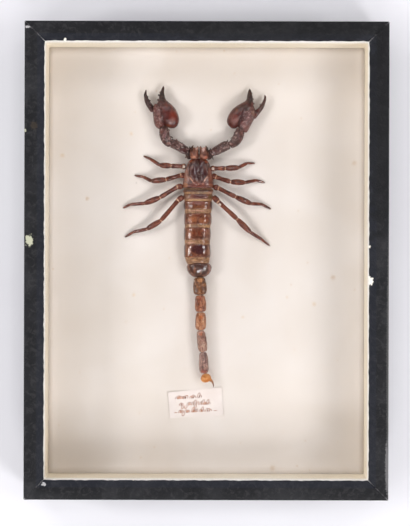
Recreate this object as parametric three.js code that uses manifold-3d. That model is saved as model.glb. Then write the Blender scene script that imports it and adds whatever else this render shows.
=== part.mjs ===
// A scorpion specimen in a flat, glass-topped case, modelled in millimetres.
// The origin is the middle of the case's underside. +X is to the right, +Y runs
// along the case towards the scorpion's head, and +Z points up, out of the glass.

import * as THREE from 'three';
import { mergeVertices } from 'three/addons/utils/BufferGeometryUtils.js';
import Module from 'manifold-3d';

const wasm = await Module();
wasm.setup();

// Driving dimensions of the case.
const CASE = { width: 198, length: 260, height: 54 };
const TAPE = { thickness: 0.5, lap: 11, drop: 14, mitreGap: 0.15 };
const WALL_THICKNESS = 6;
const FLOOR_THICKNESS = 3;
const TRAY_HEIGHT = 29.5;
const GLASS_THICKNESS = 2;
const GLASS_INSET = 0.5;
const COLLAR = { thickness: 4, gapUnderGlass: 3 };
const LINING_THICKNESS = 10;
// The label is a hand-cut slip, not quite square. Its corners are on the lining.
const LABEL = { thickness: 0.3, corners: [[-20.2, -88.5], [9.7, -87], [8.7, -71], [-21.4, -74]] };

// Driving dimensions of the scorpion. Its own frame starts on the lining, under
// the joint of its carapace and abdomen, with +Y towards its pincers.
const SCORPION_PLACE = { x: -4.75, y: 40.25 };
const GAP = 0.3;
const REST = 0.1;
const SPINE_TIP = 0.12;

const COLOURS = {
  board: { color: 0x2b2b2d, roughness: 0.8 },
  tape: { color: 0x323235, roughness: 0.7 },
  collar: { color: 0xeee0cc, roughness: 0.9 },
  lining: { color: 0xe6dbd0, roughness: 0.95 },
  label: { color: 0xf2ece6, roughness: 0.9 },
  glass: { color: 0xf4f8f8, roughness: 0.05, transparent: true, opacity: 0.2 },
  shield: { color: 0x3a2426, roughness: 0.35 },
  abdomen: { color: 0x6b4434, roughness: 0.45 },
  tail: { color: 0x7a4a30, roughness: 0.4 },
  telson: { color: 0xb5793c, roughness: 0.4 },
  jaw: { color: 0x8a4f33, roughness: 0.4 },
  arm: { color: 0x4a2d28, roughness: 0.45 },
  hand: { color: 0x6d3328, roughness: 0.4 },
  leg: { color: 0x5a3026, roughness: 0.45 },
};

// Places worked out from the driving dimensions.
const outerX = CASE.width / 2 - TAPE.thickness;
const outerY = CASE.length / 2 - TAPE.thickness;
const wallInnerX = outerX - WALL_THICKNESS;
const wallInnerY = outerY - WALL_THICKNESS;
const collarInnerX = wallInnerX - COLLAR.thickness;
const collarInnerY = wallInnerY - COLLAR.thickness;
const glassTop = CASE.height - TAPE.thickness;
const glassUnder = glassTop - GLASS_THICKNESS;
const collarTop = glassUnder - COLLAR.gapUnderGlass;
const liningTop = FLOOR_THICKNESS + LINING_THICKNESS;

const caseGroup = new THREE.Group();
const scorpion = new THREE.Group();
scorpion.position.set(SCORPION_PLACE.x, SCORPION_PLACE.y, liningTop);

/** Adds one named mesh with its own material to a group. */
function addMesh(parent, name, geometry, finish) {
  const mesh = new THREE.Mesh(geometry, new THREE.MeshStandardMaterial(finish));
  mesh.name = name;
  parent.add(mesh);
  return mesh;
}

/** A box between two opposite corners. */
function boxBetween(low, high) {
  const size = high.map((value, axis) => value - low[axis]);
  const geometry = new THREE.BoxGeometry(...size);
  geometry.translate(...low.map((value, axis) => value + size[axis] / 2));
  return geometry;
}

// The case: a floor board, then four straight pieces for each of its frames.

/** Four straight pieces of a rectangular frame, the long ones running through. */
function addFrame(name, outer, thickness, bottom, top, finish) {
  const [x, y] = outer;
  const sides = [['left', -x, -x + thickness], ['right', x - thickness, x]];
  for (const [side, from, to] of sides) {
    const geometry = boxBetween([from, -y, bottom], [to, y, top]);
    addMesh(caseGroup, `${name}_${side}`, geometry, finish);
  }
  const endX = x - thickness;
  const ends = [['tail_end', -y, -y + thickness], ['head_end', y - thickness, y]];
  for (const [end, from, to] of ends) {
    const geometry = boxBetween([-endX, from, bottom], [endX, to, top]);
    addMesh(caseGroup, `${name}_${end}`, geometry, finish);
  }
}

const floorBoard = boxBetween([-outerX, -outerY, 0], [outerX, outerY, FLOOR_THICKNESS]);
addMesh(caseGroup, 'floor_board', floorBoard, COLOURS.board);
addFrame('tray_wall', [outerX, outerY], WALL_THICKNESS, FLOOR_THICKNESS, TRAY_HEIGHT, COLOURS.board);
addFrame('lid_wall', [outerX, outerY], WALL_THICKNESS, TRAY_HEIGHT, glassUnder, COLOURS.board);
addFrame('collar', [wallInnerX, wallInnerY], COLLAR.thickness, FLOOR_THICKNESS, collarTop, COLOURS.collar);

const lining = boxBetween([-collarInnerX, -collarInnerY, FLOOR_THICKNESS], [collarInnerX, collarInnerY, liningTop]);
addMesh(caseGroup, 'lining_board', lining, COLOURS.lining);

const glassX = outerX - GLASS_INSET;
const glassY = outerY - GLASS_INSET;
const pane = boxBetween([-glassX, -glassY, glassUnder], [glassX, glassY, glassTop]);
addMesh(caseGroup, 'glass_pane', pane, COLOURS.glass);

/**
 * A binding strip along +Y at the right-hand edge: an L in section, lapped on
 * the glass and turned down the side, with both ends mitred at 45 degrees.
 */
function bindingStrip(halfWidth, halfLength) {
  const { thickness, lap, drop, mitreGap } = TAPE;
  const section = [[0, 0], [0, -drop], [thickness, -drop], [thickness, -thickness],
    [lap, -thickness], [lap, 0]];
  const outline = section.map(([inset, depth]) => new THREE.Vector2(inset, depth));
  const caps = THREE.ShapeUtils.triangulateShape(outline, []);
  const corners = [-1, 1].flatMap((end) => section.map(([inset, depth]) => [
    halfWidth - inset, end * (halfLength - inset - mitreGap), CASE.height + depth]));
  const count = section.length;
  const triangles = caps.flatMap(([a, b, c]) => [a, b, c, count + a, count + c, count + b]);
  for (let i = 0; i < count; i += 1) {
    const next = (i + 1) % count;
    triangles.push(i, count + i, next, next, count + i, count + next);
  }
  return closedGeometry(corners, triangles);
}

/** A closed geometry from corners and triangles, turned so its faces point out. */
function closedGeometry(corners, triangles) {
  const volume = triangles.reduce((sum, _, i) => {
    if (i % 3) return sum;
    const [a, b, c] = [0, 1, 2].map((k) => new THREE.Vector3(...corners[triangles[i + k]]));
    return sum + a.dot(b.cross(c));
  }, 0);
  const ordered = volume < 0 ? [...triangles].reverse() : triangles;
  const geometry = new THREE.BufferGeometry();
  geometry.setAttribute('position', new THREE.Float32BufferAttribute(corners.flat(), 3));
  geometry.setIndex(ordered);
  geometry.computeVertexNormals();
  return geometry;
}

const bindings = [
  { name: 'tape_right', turn: 0, across: CASE.width / 2, along: CASE.length / 2 },
  { name: 'tape_head_end', turn: 1, across: CASE.length / 2, along: CASE.width / 2 },
  { name: 'tape_left', turn: 2, across: CASE.width / 2, along: CASE.length / 2 },
  { name: 'tape_tail_end', turn: 3, across: CASE.length / 2, along: CASE.width / 2 },
];
for (const { name, turn, across, along } of bindings) {
  const strip = addMesh(caseGroup, name, bindingStrip(across, along), COLOURS.tape);
  strip.rotation.z = turn * Math.PI / 2;
}

// The label, flat on the lining below the sting.
const slip = new THREE.ExtrudeGeometry(
  new THREE.Shape(LABEL.corners.map(([x, y]) => new THREE.Vector2(x, y))),
  { depth: LABEL.thickness, bevelEnabled: false },
);
const label = addMesh(caseGroup, 'label', slip, COLOURS.label);
label.position.z = liningTop;

// The scorpion. Every form below is a function of how much it is grown, so that
// a neighbour can be cut back by the same form made one gap larger.

/** A solid from a closed geometry. */
function solidFrom(geometry) {
  geometry.deleteAttribute('normal');
  geometry.deleteAttribute('uv');
  const merged = mergeVertices(geometry, 1e-4);
  return new wasm.Manifold(new wasm.Mesh({
    numProp: 3,
    vertProperties: new Float32Array(merged.attributes.position.array),
    triVerts: new Uint32Array(merged.index.array),
  }));
}

/** A three.js geometry from a solid. */
function geometryFrom(solid) {
  const { vertProperties, triVerts } = solid.getMesh();
  const geometry = new THREE.BufferGeometry();
  geometry.setAttribute('position', new THREE.BufferAttribute(vertProperties, 3));
  geometry.setIndex(new THREE.BufferAttribute(triVerts, 1));
  geometry.computeVertexNormals();
  return geometry;
}

/** A closed skin through rings of equal count, with a fan over each end. */
function skinRings(rings) {
  const count = rings[0].length;
  const corners = rings.flat();
  const triangles = [];
  for (let r = 0; r + 1 < rings.length; r += 1) {
    for (let i = 0; i < count; i += 1) {
      const here = r * count + i;
      const beside = r * count + (i + 1) % count;
      triangles.push(here, beside, here + count, beside, beside + count, here + count);
    }
  }
  const ends = [[0, 1], [(rings.length - 1) * count, -1]];
  for (const [first, sense] of ends) {
    for (let i = 1; i + 1 < count; i += 1) {
      const fan = [first, first + i + 1, first + i];
      triangles.push(...(sense > 0 ? fan : fan.reverse()));
    }
  }
  return solidFrom(closedGeometry(corners, triangles));
}

/**
 * A limb: a skin of oval rings square to the line through its stations.
 * A station is [x, y, z, half width, half height].
 */
function limb(stations, sides = 8, grow = 0) {
  const up = new THREE.Vector3(0, 0, 1);
  const points = stations.map(([x, y, z]) => new THREE.Vector3(x, y, z));
  const last = points.length - 1;
  const rings = stations.map(([, , , halfWidth, halfHeight], s) => {
    const before = points[Math.max(s - 1, 0)];
    const after = points[Math.min(s + 1, last)];
    const ahead = after.clone().sub(before).normalize();
    const across = ahead.clone().cross(up).normalize();
    const rise = across.clone().cross(ahead);
    const shift = { 0: -grow, [last]: grow }[s] ?? 0;
    const centre = points[s].clone().addScaledVector(ahead, shift);
    return Array.from({ length: sides }, (_, i) => {
      const angle = 2 * Math.PI * (i + 0.5) / sides;
      return centre.clone()
        .addScaledVector(across, Math.cos(angle) * (halfWidth + grow))
        .addScaledVector(rise, Math.sin(angle) * (halfHeight + grow))
        .toArray();
    });
  });
  return skinRings(rings);
}

/** An egg-shaped lump, its length along +Y before it leans about Z. */
function lump(centre, halves, lean = 0, grow = 0, segments = [14, 9]) {
  const geometry = new THREE.SphereGeometry(1, ...segments);
  geometry.rotateX(Math.PI / 2);
  geometry.scale(...halves.map((half) => half + grow));
  geometry.rotateZ(THREE.MathUtils.degToRad(lean));
  geometry.translate(...centre);
  return solidFrom(geometry);
}

/** A small spine from a foot to a tip. */
function spine({ foot, tip, radius }, grow = 0) {
  return limb([[...foot, radius, radius], [...tip, SPINE_TIP, SPINE_TIP]], 5, grow);
}

const WAIST = 0.42;

/**
 * The body's section across at one place along it: a domed back over a flatter
 * belly. A station is {y, x, half, back, belly}, widest at WAIST of its height.
 */
function bodyRing({ y, x, half, back, belly }, sides, grow, shift) {
  const middle = belly + (back - belly) * WAIST;
  return Array.from({ length: sides }, (_, i) => {
    const angle = 2 * Math.PI * i / sides;
    const [cos, sin] = [Math.cos(angle), Math.sin(angle)];
    const reach = (half + grow) * Math.sign(cos) * Math.abs(cos) ** 0.75;
    const rise = sin > 0
      ? (back - middle + grow) * sin ** 0.85
      : (belly - middle - grow) * Math.abs(sin) ** 0.6;
    return [x + reach, y + shift, middle + rise];
  });
}

/** A stretch of the body through its stations, from the tail end to the head. */
function bodyForm(stations, sides, grow) {
  const last = stations.length - 1;
  return skinRings(stations.map((station, s) => {
    const shift = { 0: -grow, [last]: grow }[s] ?? 0;
    return bodyRing(station, sides, grow, shift);
  }));
}

// The carapace, with its raised middle shield and the eyes' low hump on top.
const CARAPACE = [
  { y: 0.2, half: 8.3, back: 8.6 },
  { y: 2.5, half: 8.7, back: 9.6 },
  { y: 6, half: 8.2, back: 10.3 },
  { y: 9.5, half: 7.7, back: 10.6 },
  { y: 12.8, half: 7.3, back: 10.2 },
  { y: 15.3, half: 6.2, back: 9.3 },
  { y: 16.8, half: 5, back: 8.2 },
].map((station) => ({ ...station, x: 0.1, belly: 1.2 }));

function carapace(grow = 0) {
  const shell = bodyForm(CARAPACE, 20, grow);
  if (grow) return shell;
  const shield = lump([0.2, 9.4, 9.4], [4.1, 6.6, 2.1], 0, 0, [16, 8]);
  const eyes = lump([0.3, 8.4, 11.2], [0.9, 1.3, 0.9], 0, 0, [8, 6]);
  return shell.add(shield).add(eyes);
}

// The abdomen's seven back plates, each stepping up from the skin between them.
const PLATES = [
  { from: -1.9, to: -0.5, x: 0, half: 8.4, back: 8.9 },
  { from: -5.8, to: -3.1, x: 0, half: 8.2, back: 9.5 },
  { from: -11.5, to: -7, x: 0, half: 7.9, back: 10.2 },
  { from: -20, to: -13.7, x: -0.1, half: 7.6, back: 10.6 },
  { from: -28.7, to: -21.7, x: -0.4, half: 7.4, back: 10.6 },
  { from: -38.4, to: -31, x: -0.4, half: 7.3, back: 10.2 },
];
const SKIN_STEP = 0.5;
const STEP_RUN = 0.35;
const PLATE_CROWN = 0.12;

/** The stations of one plate, with the skin's lower step at both of its ends. */
function plateStations({ from, to, x, half, back }) {
  const low = { x, half: half - SKIN_STEP, back: back - SKIN_STEP };
  return [
    { y: from - STEP_RUN, ...low },
    { y: from, x, half, back },
    { y: (from + to) / 2, x, half: half + PLATE_CROWN, back: back + PLATE_CROWN },
    { y: to, x, half: half - PLATE_CROWN, back: back - PLATE_CROWN },
    { y: to + STEP_RUN / 2, ...low },
  ];
}

const LAST_PLATE = [
  { y: -49.6, half: 1.9, back: 6.2 },
  { y: -49, half: 3.2, back: 7 },
  { y: -47.6, half: 4.9, back: 8 },
  { y: -45.3, half: 6.2, back: 9 },
  { y: -43, half: 7.1, back: 9.8 },
  { y: -41.4, half: 7, back: 9.9 },
  { y: -41.1, half: 6.5, back: 9.3 },
].map((station) => ({ ...station, x: 0.55 }));
const ABDOMEN = [...LAST_PLATE, ...[...PLATES].reverse().flatMap(plateStations)]
  .map((station) => ({ ...station, belly: REST }));

function abdomen(grow = 0) {
  return bodyForm(ABDOMEN, 16, grow);
}

// The tail: five ringed segments, each waisted at its two ends, then the sting.
const TAIL_SEGMENTS = [
  { from: [0.9, -49.6, 4.6], to: [1.3, -59.4, 5.2], half: 3.4, height: 2.9 },
  { from: [1.3, -59.6, 5.2], to: [1.7, -68.9, 5.6], half: 2.8, height: 2.7 },
  { from: [1.7, -69.1, 5.6], to: [1.6, -79, 5.8], half: 2.85, height: 2.7 },
  { from: [1.6, -79.2, 5.8], to: [3.1, -91.2, 5.7], half: 2.5, height: 2.5 },
  { from: [3.1, -91.4, 5.7], to: [3.6, -103.3, 5.2], half: 2.45, height: 2.3 },
];
const SEGMENT_PROFILE = [[0, 0.66], [0.07, 0.86], [0.3, 1], [0.7, 1], [0.9, 0.9], [0.97, 0.62], [1, 0.5]];
const KEEL = { across: 0.55, up: 0.72, halfWidth: 0.35, halfHeight: 0.4 };

/** One tail segment, with a low keel along each shoulder of its back. */
function tailSegment({ from, to, half, height }, grow = 0) {
  const [start, end] = [new THREE.Vector3(...from), new THREE.Vector3(...to)];
  const stations = SEGMENT_PROFILE.map(([along, swell]) => [
    ...start.clone().lerp(end, along).toArray(), half * swell, height * swell]);
  const trunk = limb(stations, 10, grow);
  if (grow) return trunk;
  return [-1, 1].reduce((solid, side) => {
    const keel = stations.slice(1, -1).map(([x, y, z, w, h]) => [
      x + side * w * KEEL.across, y, z + h * KEEL.up, KEEL.halfWidth, KEEL.halfHeight]);
    return solid.add(limb(keel, 4));
  }, trunk);
}

const BULB = { centre: [4.6, -105.9, 4.9], halves: [2.9, 2.5, 2.4], lean: 20 };
const STING = [
  [6.4, -106.6, 4.9, 1.1, 1.1],
  [7.9, -107.6, 4.8, 0.75, 0.75],
  [8.7, -109, 4.4, 0.5, 0.5],
  [8.9, -111.4, 3.7, 0.2, 0.2],
];

function telson(grow = 0) {
  return lump(BULB.centre, BULB.halves, BULB.lean, grow).add(limb(STING, 6, grow));
}

// The jaws: a short barrel with two curved fingers each, side by side.
const JAWS = {
  left: {
    barrel: [[-1.9, 16.4, 7, 2, 2], [-2, 19, 7.4, 2.45, 2.2], [-1.8, 20.9, 7.1, 2, 1.8],
      [-1.7, 21.6, 6.9, 1.3, 1.3]],
    fingers: [
      [[-2.9, 20.4, 7, 1.1, 1], [-3.3, 22, 6.6, 0.8, 0.8], [-2.6, 23.4, 6, 0.25, 0.3]],
      [[-0.9, 20.4, 7, 1, 1], [-0.3, 21.4, 6.7, 0.7, 0.7], [-0.2, 22.4, 6.2, 0.25, 0.3]],
    ],
  },
  right: {
    barrel: [[2.9, 16.4, 7, 2, 2], [3.2, 19, 7.4, 2.45, 2.2], [3.1, 20.9, 7.1, 2, 1.8],
      [3, 21.6, 6.9, 1.3, 1.3]],
    fingers: [
      [[4, 20.4, 7, 1.1, 1], [4.5, 21.6, 6.6, 0.8, 0.8], [4.1, 22.8, 6, 0.25, 0.3]],
      [[2.2, 20.4, 7, 1, 1], [1.5, 21.4, 6.7, 0.7, 0.7], [1.6, 22.2, 6.2, 0.25, 0.3]],
    ],
  },
};

function jaw(side, grow = 0) {
  const { barrel, fingers } = JAWS[side];
  return fingers.reduce((solid, finger) => solid.add(limb(finger, 6, grow)), limb(barrel, 10, grow));
}

// The two arms, each of a hip, an upper and a lower piece, and a broad hand.
const ARMS = {
  left: {
    hip: [[-4.3, 17.2, 4.6, 1.5, 1.8], [-4.6, 18.6, 4.9, 2, 2.2], [-5.2, 20.6, 5, 2, 2.2], [-5.5, 22.4, 5.1, 1.4, 1.6]],
    upper: [[-5.3, 20.5, 5.6, 1.8, 1.8], [-7.8, 21.6, 5.9, 2.7, 2.3],
      [-10.6, 23.5, 6.2, 3, 2.6], [-13.4, 24.5, 6.2, 2.9, 2.6], [-15.4, 24.9, 6, 2.4, 2.2]],
    lower: [[-15.8, 24, 6, 1.6, 1.8], [-17, 25.8, 6.1, 2.6, 2.6], [-17.9, 28, 6.1, 3, 2.9],
      [-18.6, 30.2, 6, 2.9, 2.8], [-19.1, 32.3, 5.8, 2.6, 2.5], [-19.3, 33.7, 5.6, 1.9, 1.9]],
    spur: { foot: [-16.2, 29, 6.6], tip: [-14.5, 29.1, 6.9], radius: 0.9 },
    bulb: { centre: [-16.1, 41.2, 5.1], halves: [5.4, 7.6, 4.6], lean: 9 },
    lobe: { centre: [-22.1, 40.3, 4.6], halves: [3.4, 7, 3.8], lean: 7 },
    fixed: [[-19.4, 44.5, 5, 3.4, 2.8], [-20.1, 47.2, 4.8, 2.3, 2.2],
      [-20.2, 49.6, 4.6, 1.8, 1.8], [-20.2, 51.8, 4.4, 1.6, 1.5], [-20.1, 54, 4, 1.2, 1.1],
      [-19.9, 56, 3.5, 0.8, 0.8], [-19.5, 57.5, 3.1, 0.25, 0.25]],
    moving: [[-24.4, 43, 4.6, 1.5, 1.6], [-25.6, 44.6, 4.6, 1.7, 1.8],
      [-27, 46.4, 4.5, 1.6, 1.6], [-28.1, 48.4, 4.3, 1.4, 1.4], [-28.9, 50.6, 4, 1.15, 1.2],
      [-29.4, 52.9, 3.6, 0.9, 0.9], [-29.3, 55.3, 3.1, 0.25, 0.25]],
  },
  right: {
    hip: [[4.9, 17.2, 4.6, 1.5, 1.8], [5.6, 18.4, 4.9, 2, 2.2], [6.6, 20.2, 5, 2, 2.2], [7, 22, 5.1, 1.4, 1.6]],
    upper: [[6.9, 19.8, 5.6, 1.8, 1.8], [9.8, 20.9, 5.9, 2.7, 2.3], [12.8, 22.6, 6.2, 3, 2.6],
      [15.6, 23.8, 6.2, 2.8, 2.6], [17.8, 24.6, 6, 2.3, 2.2]],
    lower: [[18.5, 24.2, 6, 1.6, 1.8], [20.1, 26, 6.1, 2.6, 2.6], [21.5, 27.9, 6.1, 2.95, 2.9],
      [22.5, 29.9, 6, 2.85, 2.8], [23.1, 31.8, 5.8, 2.6, 2.5], [23.5, 33.1, 5.6, 1.9, 1.9]],
    spur: { foot: [19.9, 28.3, 6.6], tip: [18, 28.5, 6.9], radius: 0.9 },
    bulb: { centre: [21.3, 41.1, 5.1], halves: [4.9, 7.7, 4.6], lean: -20 },
    lobe: { centre: [27.7, 38.3, 4.6], halves: [3.3, 7, 3.8], lean: -20 },
    fixed: [[25.6, 43.2, 5, 3.6, 2.8], [27.1, 45.6, 4.8, 2.6, 2.2],
      [27.9, 47.9, 4.6, 2, 1.8], [28.4, 50.2, 4.4, 1.6, 1.5], [28.6, 52.4, 4, 1.2, 1.1],
      [28.7, 54.5, 3.5, 0.8, 0.8], [28.6, 56.2, 3.1, 0.25, 0.25]],
    moving: [[30.6, 39.4, 4.6, 1.5, 1.6], [32.1, 41.3, 4.6, 1.7, 1.8],
      [33.9, 43.4, 4.5, 1.7, 1.6], [35.3, 45.7, 4.3, 1.5, 1.4], [36.5, 48.1, 4, 1.2, 1.2],
      [37.1, 50.5, 3.6, 0.8, 0.9], [37, 52.8, 3.1, 0.25, 0.25]],
  },
};

/** A hand: its bulb, its outer lobe and the finger that is fixed to it. */
function hand(side, grow = 0) {
  const { bulb, lobe, fixed } = ARMS[side];
  return lump(bulb.centre, bulb.halves, bulb.lean, grow)
    .add(lump(lobe.centre, lobe.halves, lobe.lean, grow))
    .add(limb(fixed, 8, grow));
}

function lowerArm(side, grow = 0) {
  const { lower, spur } = ARMS[side];
  return limb(lower, 10, grow).add(spine(spur, grow));
}

// The eight legs: hip lump, thigh, knee piece, shin and foot, tip last.
const LEGS = {
  left: [
    [[-7.2, 12.3], [-8.6, 12.4], [-15.1, 12.6], [-21.4, 13.1], [-26.8, 16.7], [-30.7, 18.3]],
    [[-7.4, 7.4], [-9.8, 7.4], [-17.9, 5], [-26, 4.2], [-30.7, 6.6], [-35.7, 7.5]],
    [[-8.6, 1.5], [-11.6, 0.9], [-21.2, -5], [-29.9, -8.3], [-38, -8.8], [-42.2, -10.9]],
    [[-8.3, -4.4], [-11.2, -6.6], [-20.7, -17.9], [-28.5, -22.6], [-36.3, -24.3], [-41, -27.1]],
  ],
  right: [
    [[7.2, 11.3], [8.9, 11.3], [15.1, 11.3], [22.6, 11.9], [27.4, 14.5], [31.8, 14.5]],
    [[7.6, 7.4], [10, 6.5], [18.1, 3.8], [26.2, 3.5], [32.4, 4.9], [37.4, 3.6]],
    [[8.7, 1], [11.4, 0.3], [20.9, -4.6], [29.6, -8.3], [35.7, -8.5], [40.8, -11.2]],
    [[8.4, -4.2], [11.2, -7.2], [21.8, -17], [29.3, -24.3], [35.7, -28.2], [40.2, -31.8]],
  ],
};
const JOINT_HEIGHTS = [4.8, 5.4, 7.2, 4.6, 1.9, 0.62];
const LEG_PROFILE = [
  { stretch: 0, at: [[0, 1.3], [0.7, 1.6]] },
  { stretch: 1, at: [[0.05, 1.45], [0.25, 1.1], [0.8, 1.15], [0.97, 0.85]] },
  { stretch: 2, at: [[0.06, 1.1], [0.3, 1.45], [0.8, 1.4], [0.97, 0.85]] },
  { stretch: 3, at: [[0.1, 0.9], [0.8, 0.8], [0.97, 0.6]] },
  { stretch: 4, at: [[0.1, 0.68], [0.75, 0.55], [1, 0.3]] },
];

function leg(side, index) {
  const joints = LEGS[side][index].map(([x, y], j) => new THREE.Vector3(x, y, JOINT_HEIGHTS[j]));
  const stations = LEG_PROFILE.flatMap(({ stretch, at }) => at.map(([along, radius]) => {
    const place = joints[stretch].clone().lerp(joints[stretch + 1], along);
    return [...place.toArray(), radius, radius];
  }));
  return limb(stations, 8);
}

/** Adds one piece of the scorpion, cut back by its grown neighbours. */
function addPiece(name, solid, neighbours, finish) {
  const cut = neighbours.reduce((left, neighbour) => left.subtract(neighbour), solid);
  addMesh(scorpion, name, geometryFrom(cut), finish);
}

addPiece('carapace', carapace(), [], COLOURS.shield);
addPiece('abdomen', abdomen(), [carapace(GAP)], COLOURS.abdomen);

TAIL_SEGMENTS.forEach((segment, i) => {
  const before = i ? tailSegment(TAIL_SEGMENTS[i - 1], GAP) : abdomen(GAP);
  addPiece(`tail_segment_${i + 1}`, tailSegment(segment), [before], COLOURS.tail);
});
addPiece('telson', telson(), [tailSegment(TAIL_SEGMENTS.at(-1), GAP)], COLOURS.telson);

for (const side of ['left', 'right']) {
  const { hip, upper, moving } = ARMS[side];
  addPiece(`jaw_${side}`, jaw(side), [carapace(GAP)], COLOURS.jaw);
  addPiece(`arm_hip_${side}`, limb(hip, 8), [carapace(GAP), jaw(side, GAP)], COLOURS.arm);
  addPiece(`arm_upper_${side}`, limb(upper, 10), [limb(hip, 8, GAP), carapace(GAP)], COLOURS.arm);
  addPiece(`arm_lower_${side}`, lowerArm(side), [limb(upper, 10, GAP)], COLOURS.arm);
  addPiece(`hand_${side}`, hand(side), [lowerArm(side, GAP)], COLOURS.hand);
  addPiece(`finger_${side}`, limb(moving, 8), [hand(side, GAP)], COLOURS.hand);
  for (let index = 0; index < 4; index += 1) {
    addPiece(`leg_${side}_${index + 1}`, leg(side, index), [carapace(GAP), abdomen(GAP)], COLOURS.leg);
  }
}

const group = new THREE.Group();
group.add(caseGroup, scorpion);

export default group;
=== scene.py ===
"""A dried scorpion in a flat, glass-topped case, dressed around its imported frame.

Everything is in metres and in the frame's own axes: +X to the right, +Y towards the
scorpion's head, +Z up and out of the glass. The scorpion's own sizes are written in
millimetres, from the point on the lining that lies under its carapace's rear edge.
"""

import logging
import math
from dataclasses import dataclass, field
from enum import Enum
from typing import Callable, Optional, Sequence

import bmesh
import bpy
import numpy as np
from mathutils import Matrix, Vector


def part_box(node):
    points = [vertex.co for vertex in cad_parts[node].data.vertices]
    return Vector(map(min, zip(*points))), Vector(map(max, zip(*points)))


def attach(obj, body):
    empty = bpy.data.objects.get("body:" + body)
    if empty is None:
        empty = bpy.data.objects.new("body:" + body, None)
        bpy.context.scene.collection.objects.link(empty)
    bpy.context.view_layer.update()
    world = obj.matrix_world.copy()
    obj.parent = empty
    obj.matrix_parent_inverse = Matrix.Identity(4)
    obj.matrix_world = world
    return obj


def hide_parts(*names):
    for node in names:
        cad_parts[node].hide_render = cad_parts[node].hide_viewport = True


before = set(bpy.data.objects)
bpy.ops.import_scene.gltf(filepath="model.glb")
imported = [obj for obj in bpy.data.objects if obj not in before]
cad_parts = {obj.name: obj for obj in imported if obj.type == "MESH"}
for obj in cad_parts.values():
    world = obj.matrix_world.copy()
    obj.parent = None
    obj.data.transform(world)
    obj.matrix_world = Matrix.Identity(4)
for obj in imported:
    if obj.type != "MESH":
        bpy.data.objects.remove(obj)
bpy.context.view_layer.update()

LOG = logging.getLogger("scorpion_case")
MM = 0.001
BODY = "root"

# Where the binding steps down from the board to the glass, in millimetres from the case's edge.
LAP_STEP = (6.5, 7.1)

Object = bpy.types.Object
Socket = bpy.types.NodeSocket
Colour = tuple[float, float, float]
Station = tuple[float, ...]
Ring = list[Vector]


def tone(red: int, green: int, blue: int) -> Colour:
    """A linear colour from its values from 0 to 255 as seen on a screen."""
    def linear(value: float) -> float:
        """One channel without the screen's curve."""
        return value / 12.92 if value <= 0.04045 else ((value + 0.055) / 1.055) ** 2.4
    return (linear(red / 255), linear(green / 255), linear(blue / 255))


# The bench: selecting, shaping and finishing any piece.


def hold(obj: Object) -> None:
    """Selects one object alone and makes it active."""
    bpy.ops.object.select_all(action="DESELECT")
    obj.select_set(True)
    bpy.context.view_layer.objects.active = obj


def begin(name: str, add: Callable[..., object], **settings: object) -> Object:
    """Adds a primitive with its settings, alone in the selection, as the start of a piece."""
    bpy.ops.object.select_all(action="DESELECT")
    add(**settings)
    obj = bpy.context.active_object
    obj.name = name
    return obj


def open_mesh(obj: Object, kind: str = "VERT") -> bmesh.types.BMesh:
    """Enters edit mode on an object with nothing selected, and gives its edit mesh."""
    hold(obj)
    bpy.ops.object.mode_set(mode="EDIT")
    bpy.ops.mesh.select_mode(type=kind)
    bpy.ops.mesh.select_all(action="DESELECT")
    mesh = bmesh.from_edit_mesh(obj.data)
    mesh.verts.ensure_lookup_table()
    return mesh


def close_mesh() -> None:
    """Leaves edit mode."""
    bpy.ops.object.mode_set(mode="OBJECT")


def pick_faces(obj: Object, wanted: Callable[[bmesh.types.BMFace], bool]) -> None:
    """Enters edit mode with only the wanted faces selected.

    Args:
        obj: The object to edit.
        wanted: Says of a face whether it is to be selected.
    """
    mesh = open_mesh(obj, "FACE")
    for face in mesh.faces:
        face.select_set(wanted(face))
    mesh.select_flush_mode()
    bmesh.update_edit_mesh(obj.data)


def apply_modifier(obj: Object, kind: str, **settings: object) -> None:
    """Adds one modifier with its settings and applies it."""
    hold(obj)
    modifier = obj.modifiers.new(kind.lower(), kind)
    for name, value in settings.items():
        setattr(modifier, name, value)
    bpy.ops.object.modifier_apply(modifier=modifier.name)


def subdivide_surface(obj: Object, levels: int) -> None:
    """Rounds a piece by a subdivision surface."""
    apply_modifier(obj, "SUBSURF", levels=levels, render_levels=levels)


class Relief(Enum):
    """The kinds of fine relief that a surface is given, by the texture that raises them."""

    GRAIN = "CLOUDS"
    GRANULES = "VORONOI"


def roughen(obj: Object, relief: Relief, depth: float, size: float,
            share: Optional[np.ndarray] = None) -> None:
    """Raises a fine natural relief on a piece's surface.

    Args:
        obj: The piece.
        relief: The kind of relief.
        depth: The relief's whole depth, in millimetres.
        size: The width of one grain, in millimetres.
        share: How strongly each point is moved, from 0 to 1, or all of them fully.
    """
    smooth = points_of(obj)
    texture = bpy.data.textures.new(f"{obj.name}_relief", relief.value)
    texture.noise_scale = size * MM
    upward = -1 if relief is Relief.GRANULES else 1
    apply_modifier(obj, "DISPLACE", texture=texture, strength=upward * depth * MM, mid_level=0.5,
                   texture_coords="LOCAL", direction="NORMAL")
    if share is not None:
        move_points(obj, smooth + (points_of(obj) - smooth) * share[:, None])


def join(name: str, parts: Sequence[Object]) -> Object:
    """Joins several meshes into one object of that name."""
    hold(parts[0])
    for part in parts[1:]:
        part.select_set(True)
    if len(parts) > 1:
        bpy.ops.object.join()
    parts[0].name = name
    parts[0].data.name = name
    return parts[0]


def fuse(obj: Object, voxel: float, smoothing: int = 4) -> Object:
    """Melts a piece's overlapping forms into one closed skin.

    Args:
        obj: The piece.
        voxel: The size of the new skin's squares, in millimetres.
        smoothing: How often the new skin is smoothed.

    Returns:
        The same piece.
    """
    apply_modifier(obj, "REMESH", mode="VOXEL", voxel_size=voxel * MM)
    apply_modifier(obj, "SMOOTH", factor=0.5, iterations=smoothing)
    return obj


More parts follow.
